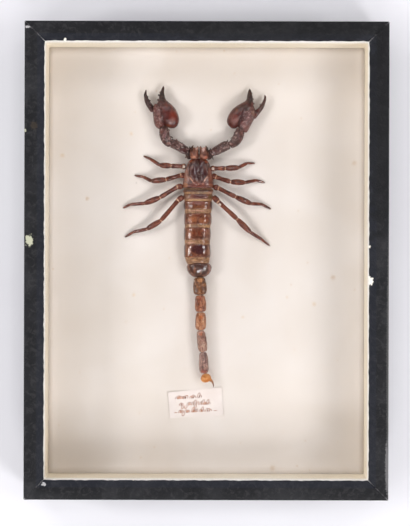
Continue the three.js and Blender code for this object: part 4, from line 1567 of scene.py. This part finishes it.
ARMS = (
    Arm("left",
        hip=((-4.3, 16.8, 4.6, 1.5, 1.8), (-4.9, 18.4, 4.9, 2.1, 2.2), (-5.4, 20.6, 5.0, 2.1, 2.3),
             (-5.2, 22.6, 5.1, 1.4, 1.6)),
        upper=((-5.0, 20.4, 5.6, 1.6, 1.9), (-7.6, 21.6, 5.9, 2.55, 2.5), (-10.2, 23.2, 6.2, 2.7, 2.7),
               (-13.0, 24.7, 6.2, 2.85, 2.7), (-15.4, 25.2, 6.0, 2.3, 2.3)),
        lower=((-15.2, 24.2, 6.0, 1.9, 2.1), (-17.1, 26.2, 6.1, 2.75, 2.7), (-18.3, 28.5, 6.1, 3.0, 3.0),
               (-18.9, 30.7, 6.0, 3.0, 2.9), (-19.2, 32.8, 5.8, 2.75, 2.7), (-19.2, 34.8, 5.6, 2.1, 2.2)),
        palm=((33.7, -15.6, -13.6, 1.2, 5.1), (35.2, -18.9, -11.6, 3.0, 5.1), (38.2, -21.6, -10.7, 4.3, 5.1),
              (41.5, -22.4, -11.3, 4.6, 5.1), (44.8, -23.1, -13.0, 4.3, 5.1), (47.3, -23.0, -15.3, 3.6, 5.0),
              (49.4, -22.3, -17.8, 2.7, 4.8), (51.8, -21.9, -18.8, 2.0, 4.4), (54.2, -21.3, -19.1, 1.5, 3.9),
              (56.3, -20.4, -19.0, 0.9, 3.4), (57.4, -19.9, -19.4, 0.3, 3.1)),
        lobe=((33.4, -22.4, -20.6, 0.9, 4.7), (34.8, -24.0, -18.4, 2.6, 4.7), (37.4, -25.0, -17.2, 3.9, 4.7),
              (41.0, -25.4, -18.5, 4.1, 4.7), (44.2, -25.6, -19.9, 3.7, 4.6), (46.3, -24.9, -21.0, 2.5, 4.6),
              (47.4, -24.3, -22.4, 0.8, 4.6)),
        moving=((42.8, -26.7, -25.2, 0.8, 4.6), (44.2, -27.7, -24.8, 1.6, 4.6), (46.2, -29.0, -25.2, 1.8, 4.5),
                (48.3, -29.9, -26.6, 1.6, 4.3), (50.4, -30.4, -27.9, 1.4, 4.0), (52.8, -30.5, -28.8, 1.0, 3.6),
                (55.4, -29.5, -29.1, 0.3, 3.1)),
        hip_thorns=((-4.6, 22.9, 5.8, 0.35, 0.7, 20), (-6.9, 17.6, 5.6, 0.35, 0.7, 140)),
        upper_thorns=((-12.0, 27.2, 6.8, 0.35, 0.7, 0), (-14.4, 27.2, 6.6, 0.4, 0.7, 20),
                      (-9.0, 25.2, 6.8, 0.3, 0.6, 20)),
        lower_thorns=((-15.2, 28.8, 6.8, 0.45, 1.0, 80), (-15.4, 27.3, 6.6, 0.35, 0.8, 80),
                      (-16.3, 32.6, 6.6, 0.3, 0.7, 60)),
        palm_teeth=((-22.2, 52.3, 4.2, 0.5, 0.6, 0), (-22.6, 49.6, 4.4, 0.5, 0.6, 0),
                    (-21.8, 50.9, 4.3, 0.3, 0.4, 0), (-21.6, 53.9, 3.9, 0.3, 0.4, 0)),
        moving_teeth=((-27.1, 49.3, 4.2, 0.45, 0.5, 0), (-26.2, 47.4, 4.4, 0.35, 0.4, 0),
                      (-28.3, 51.4, 3.9, 0.35, 0.4, 0)),
        groove=(Stroke((-20.9, 43.6), (-20.0, 40.0), 0.6, -0.5),
                Stroke((-20.0, 40.0), (-18.6, 35.2), 0.6, -0.5),
                Stroke((-19.4, 47.6), (-16.6, 47.8), 0.9, -0.35),
                Stroke((-15.6, 44.6), (-14.6, 39.6), 1.3, 0.25)),
        lobe_line=Stroke((-23.0, 45.0), (-21.8, 36.0), 2.7, 0)),
    Arm("right",
        hip=((4.9, 16.8, 4.6, 1.5, 1.8), (5.9, 18.2, 4.9, 2.1, 2.2), (6.9, 19.8, 5.0, 2.1, 2.3),
             (7.2, 21.8, 5.1, 1.4, 1.6)),
        upper=((6.9, 19.9, 5.6, 1.6, 1.9), (9.4, 20.8, 5.9, 2.5, 2.5), (12.0, 22.2, 6.2, 2.7, 2.7),
               (14.7, 23.6, 6.2, 2.85, 2.7), (17.4, 24.5, 6.0, 2.4, 2.3)),
        lower=((17.5, 24.0, 6.0, 1.9, 2.1), (20.3, 26.0, 6.1, 2.75, 2.7), (21.8, 28.0, 6.1, 3.0, 3.0),
               (22.7, 30.0, 6.0, 3.0, 2.9), (23.2, 31.8, 5.8, 2.75, 2.7), (23.6, 33.8, 5.6, 2.1, 2.2)),
        palm=((33.6, 19.0, 20.6, 0.9, 5.1), (34.9, 17.2, 22.4, 2.5, 5.1), (37.2, 15.9, 24.4, 4.0, 5.1),
              (40.2, 16.4, 26.6, 4.6, 5.1), (43.4, 18.2, 29.0, 4.5, 5.1), (45.8, 20.6, 30.4, 4.0, 5.0),
              (47.8, 24.0, 30.7, 3.1, 4.9), (49.4, 26.6, 30.5, 2.5, 4.6), (51.8, 27.2, 30.2, 2.0, 4.2),
              (54.2, 27.7, 29.8, 1.3, 3.7), (56.2, 28.5, 28.9, 0.3, 3.2)),
        lobe=((31.5, 25.4, 27.2, 0.8, 4.7), (32.8, 23.4, 28.0, 2.5, 4.7), (35.2, 22.0, 29.3, 3.8, 4.7),
              (38.4, 21.8, 31.0, 4.1, 4.7), (41.4, 22.8, 31.9, 4.1, 4.7), (43.8, 24.4, 32.0, 3.6, 4.6),
              (45.4, 26.0, 31.4, 2.6, 4.6), (46.6, 28.0, 30.8, 0.8, 4.6)),
        moving=((39.2, 31.0, 32.2, 0.8, 4.6), (40.8, 30.3, 33.3, 1.6, 4.6), (43.0, 30.8, 35.0, 1.9, 4.5),
                (45.2, 33.3, 36.5, 1.7, 4.3), (47.2, 35.0, 37.3, 1.5, 4.1), (49.6, 36.3, 37.9, 1.2, 3.8),
                (51.6, 36.8, 37.9, 0.8, 3.4), (52.6, 36.9, 37.2, 0.3, 3.1)),
        hip_thorns=((6.8, 21.9, 5.8, 0.35, 0.8, 10), (8.1, 17.0, 5.6, 0.35, 0.8, -150)),
        upper_thorns=((14.2, 25.8, 6.8, 0.4, 0.8, -10), (16.4, 26.5, 6.6, 0.35, 0.7, -10),
                      (10.4, 23.4, 6.8, 0.3, 0.6, 0)),
        lower_thorns=((18.8, 28.4, 6.8, 0.45, 1.0, -75), (19.0, 27.1, 6.6, 0.35, 0.8, -70),
                      (20.3, 31.6, 6.6, 0.3, 0.7, -60)),
        palm_teeth=((30.6, 50.2, 4.4, 0.5, 0.6, 0), (30.1, 53.4, 3.9, 0.4, 0.5, 0),
                    (30.9, 47.6, 4.6, 0.5, 0.6, 0), (30.4, 51.8, 4.1, 0.3, 0.4, 0)),
        moving_teeth=((34.6, 47.0, 4.1, 0.5, 0.55, 0), (33.9, 45.6, 4.2, 0.4, 0.5, 0),
                      (36.2, 49.4, 3.8, 0.3, 0.4, 0)),
        groove=(Stroke((25.0, 42.6), (24.0, 39.2), 0.45, -0.7),
                Stroke((24.0, 39.2), (21.9, 34.4), 0.5, -0.6),
                Stroke((25.6, 46.6), (22.4, 46.2), 0.9, -0.35),
                Stroke((20.4, 43.6), (19.0, 39.0), 1.3, 0.25)),
        lobe_line=Stroke((28.8, 43.0), (25.8, 34.6), 2.9, 0)),
)


@dataclass(frozen=True)
class Leg:
    """One leg by its joints in plan, from the hip to the foot's tip, in millimetres."""

    side: str
    number: int
    joints: tuple[tuple[float, float], ...]
    knob: Optional[tuple[float, float]] = None
    knob_height: float = 6.6
    knob_radius: float = 0.85
    knots: tuple[tuple[int, float], ...] = ((1, 1.35), (2, 0.86), (3, 0.74), (4, 0.48))
    heights: tuple[float, ...] = (4.8, 5.4, 7.2, 4.6, 1.9, 0.62)
    pieces: tuple[tuple[tuple[float, float], ...], ...] = (
        ((0.0, 1.1), (0.25, 1.6), (0.7, 1.75), (1.05, 1.3)),
        ((0.0, 1.0), (0.08, 1.35), (0.3, 1.2), (0.75, 1.38), (0.93, 1.3), (1.0, 0.95)),
        ((0.0, 0.9), (0.08, 1.3), (0.35, 1.72), (0.7, 1.66), (0.93, 1.3), (1.0, 0.9)),
        ((0.0, 0.8), (0.1, 1.05), (0.5, 1.0), (0.9, 0.92), (1.0, 0.7)),
        ((0.0, 0.6), (0.12, 0.8), (0.6, 0.66), (0.9, 0.46), (1.0, 0.28)),
    )

    def build(self, hard: bpy.types.Material, soft: bpy.types.Material) -> Object:
        """Builds the leg's pieces and the paler skin at its joints."""
        places = [np.array((*joint, height)) for joint, height in zip(self.joints, self.heights)]
        parts = []
        for index, profile in enumerate(self.pieces):
            start, run = places[index], places[index + 1] - places[index]
            stations = [(*(start + run * along), radius, radius * 1.05) for along, radius in profile]
            part = limb(f"leg_part_{index}", stations, 14, Section.OVAL, 2)
            part.data.materials.append(hard)
            parts.append(part)
        knots = [(places[index], radius) for index, radius in self.knots]
        if self.knob:
            knots.append((np.array((*self.knob, self.knob_height)), self.knob_radius))
        for place, radius in knots:
            joint = lump("joint_skin", tuple(place), (radius, radius, radius), rings=10)
            joint.data.materials.append(soft)
            parts.append(joint)
        whole = join(f"leg_piece_{self.side}_{self.number}", parts)
        return complete(whole, "leg_cuticle", f"leg_{self.side}_{self.number}", None, (Relief.GRAIN, 0.22, 0.9))


LEGS = (
    Leg("left", 1, ((-7.2, 12.3), (-8.6, 12.4), (-15.1, 12.6), (-21.4, 13.1), (-26.8, 16.7), (-30.7, 18.3)),
        (-7.9, 12.2)),
    Leg("left", 2, ((-7.4, 7.4), (-9.8, 7.4), (-17.9, 5.0), (-26.0, 4.2), (-30.7, 6.6), (-35.7, 7.5))),
    Leg("left", 3, ((-8.6, 1.5), (-11.6, 0.9), (-21.2, -5.0), (-29.9, -8.3), (-38.0, -8.8), (-42.2, -10.9))),
    Leg("left", 4, ((-8.3, -4.4), (-11.2, -6.6), (-20.7, -17.9), (-28.5, -22.6), (-36.3, -24.3),
                    (-41.0, -27.1))),
    Leg("right", 1, ((7.2, 11.3), (8.9, 11.3), (15.1, 11.3), (22.6, 11.9), (27.4, 14.5), (31.8, 14.5)),
        (8.2, 11.1)),
    Leg("right", 2, ((7.6, 7.4), (10.0, 6.5), (18.1, 3.8), (26.2, 3.5), (32.4, 4.9), (37.4, 3.6))),
    Leg("right", 3, ((8.7, 1.0), (11.4, 0.3), (20.9, -4.6), (29.6, -8.3), (35.7, -8.5), (40.8, -11.2))),
    Leg("right", 4, ((8.4, -4.2), (11.2, -7.2), (21.8, -17.0), (29.3, -24.3), (35.7, -28.2), (40.2, -31.8)),
        (12.1, -9.0)),
)


@dataclass(frozen=True)
class Scorpion:
    """The whole specimen."""

    carapace: Carapace = field(default_factory=Carapace)
    abdomen: Abdomen = field(default_factory=Abdomen)
    tail: Tail = field(default_factory=Tail)

    def build(self) -> None:
        """Builds every piece of the specimen."""
        self.carapace.build()
        self.abdomen.build()
        self.tail.build()
        jaw = self.jaw_finish().material()
        for part in JAWS:
            part.build(jaw)
        hip, arm, hand = [finish.material() for finish in self.arm_finishes()]
        for part in ARMS:
            part.build(hip, arm, hand)
        leg, joint = [finish.material() for finish in self.leg_finishes()]
        for part in LEGS:
            part.build(leg, joint)

    def jaw_finish(self) -> Cuticle:
        """The jaws' finish: dark sides, paler rear tops and painted highlights near the front."""
        dark = tone(40, 20, 17)
        return Cuticle("jaw_cuticle", tone(62, 30, 22), tone(118, 70, 52), tone(172, 122, 98), roughness=0.34,
                       coat=0.7, mottle=1.3, marks=(
                           Mark(-2.4, 17.4, 1.4, 1.0, tone(204, 150, 120), 0.8),
                           Mark(4.4, 17.2, 1.4, 1.0, tone(190, 110, 74), 0.8),
                           Mark(-3.6, 22.2, 1.2, 2.4, dark, 0.9),
                           Mark(5.2, 21.8, 1.2, 2.6, dark, 0.9),
                           Mark(0.5, 20.0, 0.9, 3.4, dark, 0.9),
                           # Painted highlights: the two near-white patches near the jaws' fronts.
                           Mark(2.9, 22.0, 1.3, 1.8, tone(226, 204, 198), 0.9),
                           Mark(-0.8, 22.4, 1.1, 1.4, tone(210, 184, 174), 0.85)))

    def arm_finishes(self) -> tuple[Cuticle, Cuticle, Cuticle]:
        """The finishes of the hips, of the upper and lower pieces, and of the hands."""
        hip = Cuticle("arm_hip_cuticle", tone(30, 14, 12), tone(50, 28, 24), tone(84, 54, 46), roughness=0.36,
                      mottle=1.1, grains=0.5, grain_depth=0.08)
        arm = Cuticle("arm_cuticle", tone(32, 15, 14), tone(62, 34, 31), tone(104, 68, 62), roughness=0.38,
                      mottle=1.5, grains=0.5, grain_depth=0.08, marks=self.arm_marks(), fleck=tone(184, 162, 158))
        hand = Cuticle("hand_cuticle", tone(46, 20, 19), tone(84, 36, 31), tone(114, 52, 40), roughness=0.34,
                       coat=0.8, mottle=2.6, marks=self.hand_marks(), fleck=tone(170, 142, 140),
                       fleck_share="granules")
        return hip, arm, hand

    def leg_finishes(self) -> tuple[Cuticle, Cuticle]:
        """The finishes of the legs' hard pieces and of the paler skin and pearls at their joints."""
        leg = Cuticle("leg_cuticle", tone(58, 28, 24), tone(104, 56, 44), tone(152, 96, 74), roughness=0.36,
                      coat=0.6, mottle=2.4, marks=tuple(
                          Mark(side * 17.0, -13.0, 6.0, 9.0, tone(140, 88, 68), 0.5, 0.8, side * -45)
                          for side in (-1, 1)))
        joint = Cuticle("leg_joint_skin", tone(140, 96, 72), tone(190, 146, 116), tone(220, 186, 160),
                        roughness=0.5, coat=0.2, tint=(1.0, 1.0, 1.0), marks=tuple(
                            Mark(*part.knob, 1.1, 1.1, tone(218, 204, 192), 1.0, 0.3)
                            for part in LEGS if part.knob))
        return leg, joint

    def arm_marks(self) -> tuple[Mark, ...]:
        """The arms' mauve streaks, red hips and lighter elbows."""
        mauve, wine, rose, rust = tone(128, 94, 100), tone(72, 24, 24), tone(140, 82, 68), tone(104, 50, 40)
        return (
            Mark(-18.6, 29.6, 1.2, 3.6, mauve, 0.7, 0.8, 10), Mark(-20.4, 31.6, 1.4, 2.2, rust, 0.7),
            Mark(-16.4, 25.2, 1.5, 1.0, rose, 0.6), Mark(-8.0, 21.4, 1.8, 1.4, wine, 0.8),
            Mark(22.4, 29.4, 1.2, 3.6, mauve, 0.5, 0.8, -20), Mark(24.0, 31.2, 1.4, 2.0, rust, 0.6),
            Mark(18.4, 24.8, 1.5, 1.0, rose, 0.5), Mark(10.0, 20.6, 1.8, 1.4, wine, 0.8),
        )

    def hand_marks(self) -> tuple[Mark, ...]:
        """The hands' rusty palms, mauve lobes, dark grooves and darker fingers."""
        rust, mauve, dusk, wine = tone(134, 50, 26), tone(94, 54, 52), tone(34, 8, 6), tone(58, 18, 18)
        return (
            Mark(-14.0, 40.4, 3.4, 5.4, rust, 0.75, 0.8),
            Mark(-17.6, 42.0, 2.8, 3.6, tone(80, 42, 42), 0.6, 0.8),
            Mark(-23.0, 42.0, 2.9, 5.6, mauve, 0.85),
            Mark(-22.2, 36.0, 2.8, 2.8, tone(108, 58, 46), 0.8),
            Mark(-20.3, 41.0, 0.8, 6.4, wine, 0.95, 0.5, -11),
            Mark(-21.7, 40.4, 0.6, 3.4, tone(150, 116, 106), 0.6),
            Mark(-20.4, 52.8, 3.2, 6.0, dusk, 0.95, 0.4), Mark(-27.8, 49.8, 4.4, 7.4, dusk, 0.85, 0.4),
            Mark(-20.4, 46.6, 3.2, 1.8, tone(66, 34, 32), 0.8),
            Mark(-17.0, 34.8, 2.6, 1.3, tone(150, 92, 68), 0.5),
            Mark(20.0, 38.6, 3.8, 4.2, tone(122, 66, 54), 0.75, 0.8),
            Mark(22.0, 44.2, 3.6, 2.8, tone(64, 30, 26), 0.9),
            Mark(21.4, 43.6, 1.2, 1.8, tone(122, 68, 42), 0.6), Mark(28.0, 38.2, 3.3, 5.6, mauve, 0.85),
            Mark(26.8, 33.8, 2.4, 2.2, tone(116, 64, 58), 0.7),
            Mark(26.8, 44.6, 2.8, 2.6, tone(52, 36, 33), 0.9),
            Mark(30.6, 42.2, 1.1, 2.6, tone(118, 92, 72), 0.6), Mark(24.0, 39.8, 0.9, 6.2, wine, 0.95, 0.5, 22),
            Mark(28.6, 52.2, 3.0, 6.0, dusk, 0.95, 0.4),
            Mark(35.6, 46.8, 4.2, 7.2, tone(64, 38, 32), 0.85, 0.4),
        )


# The stage: floor, lights and camera.


@dataclass(frozen=True)
class SoftBox:
    """One soft studio light, aimed at the case, by its direction and rise in degrees.

    One that isn't mirrored lights every surface but leaves no highlight on it.
    """

    side: float
    rise: float
    power: float
    distance: float = 1.3
    size: float = 0.42
    mirrored: bool = True

    def build(self, number: int) -> None:
        """Adds the light."""
        light = bpy.data.lights.new(f"soft_light_{number}", "AREA")
        light.shape = "SQUARE"
        light.size = self.size
        light.energy = self.power
        lamp = bpy.data.objects.new(f"soft_light_{number}", light)
        lamp.visible_glossy = self.mirrored
        bpy.context.scene.collection.objects.link(lamp)
        turn, tilt = math.radians(self.side), math.radians(self.rise)
        level = math.cos(tilt)
        lamp.location = self.distance * Vector((level * math.cos(turn), level * math.sin(turn), math.sin(tilt)))
        lamp.rotation_euler = (-lamp.location).to_track_quat("-Z", "Y").to_euler()


@dataclass(frozen=True)
class Studio:
    """A pale floor, plain soft light and a camera straight above the case."""

    camera_place: Station = (-0.0008, -0.0013, 1.204)
    lens: float = 145.1
    roll: float = 0.15
    lights: tuple[SoftBox, ...] = (
        SoftBox(315, 50, 5.0, size=0.3), SoftBox(180, 44, 5.8, size=0.28), SoftBox(0, 50, 3.8, size=0.28),
        SoftBox(270, 46, 4.2, size=0.26), SoftBox(135, 50, 2.4, mirrored=False), SoftBox(90, 58, 2.1),
        SoftBox(225, 54, 2.0), SoftBox(45, 50, 1.6, mirrored=False))

    def build(self) -> None:
        """Sets the stage."""
        self.floor()
        for number, light in enumerate(self.lights, 1):
            light.build(number)
        self.surroundings()
        self.camera()
        bpy.context.scene.view_settings.view_transform = "Standard"

    def floor(self) -> None:
        """The pale floor under the case."""
        floor = begin("floor", bpy.ops.mesh.primitive_plane_add, size=6)
        shader = Shader("floor_pale")
        cloud = shader.noise(120, 3)
        colour = shader.ramp(cloud, [(0.3, tone(240, 238, 244)), (0.7, tone(245, 244, 249))])
        floor.data.materials.append(shader.surface(colour, 0.9))

    def surroundings(self) -> None:
        """Pale walls around the floor, under a ceiling that stays dark straight above."""
        world = bpy.data.worlds.new("soft_surroundings")
        world.use_nodes = True
        nodes, links = world.node_tree.nodes, world.node_tree.links
        direction = nodes.new("ShaderNodeTexCoord")
        split = nodes.new("ShaderNodeSeparateXYZ")
        ramp = nodes.new("ShaderNodeValToRGB")
        fill_ramp(ramp, ((0.0, (0.66, 0.66, 0.68)), (0.2, (0.54, 0.54, 0.56)), (0.42, (0.035, 0.035, 0.035)),
                         (0.94, (0.03, 0.03, 0.03)), (0.975, (0.0, 0.0, 0.0))))
        links.new(direction.outputs["Generated"], split.inputs[0])
        links.new(split.outputs["Z"], ramp.inputs[0])
        links.new(ramp.outputs[0], nodes["Background"].inputs["Color"])
        bpy.context.scene.world = world

    def camera(self) -> None:
        """The camera, looking straight down with the head end up."""
        camera = bpy.data.cameras.new("camera")
        camera.lens = self.lens
        eye = bpy.data.objects.new("camera", camera)
        bpy.context.scene.collection.objects.link(eye)
        eye.location = self.camera_place
        eye.rotation_euler = (0, 0, math.radians(self.roll))
        bpy.context.scene.camera = eye


def main() -> None:
    """Builds the stage, the case and the specimen in order."""
    logging.basicConfig(level=logging.INFO, format="%(message)s")
    Studio().build()
    Case().build()
    Label().build()
    Scorpion().build()
    bpy.context.view_layer.update()


if __name__ == "__main__":
    main()
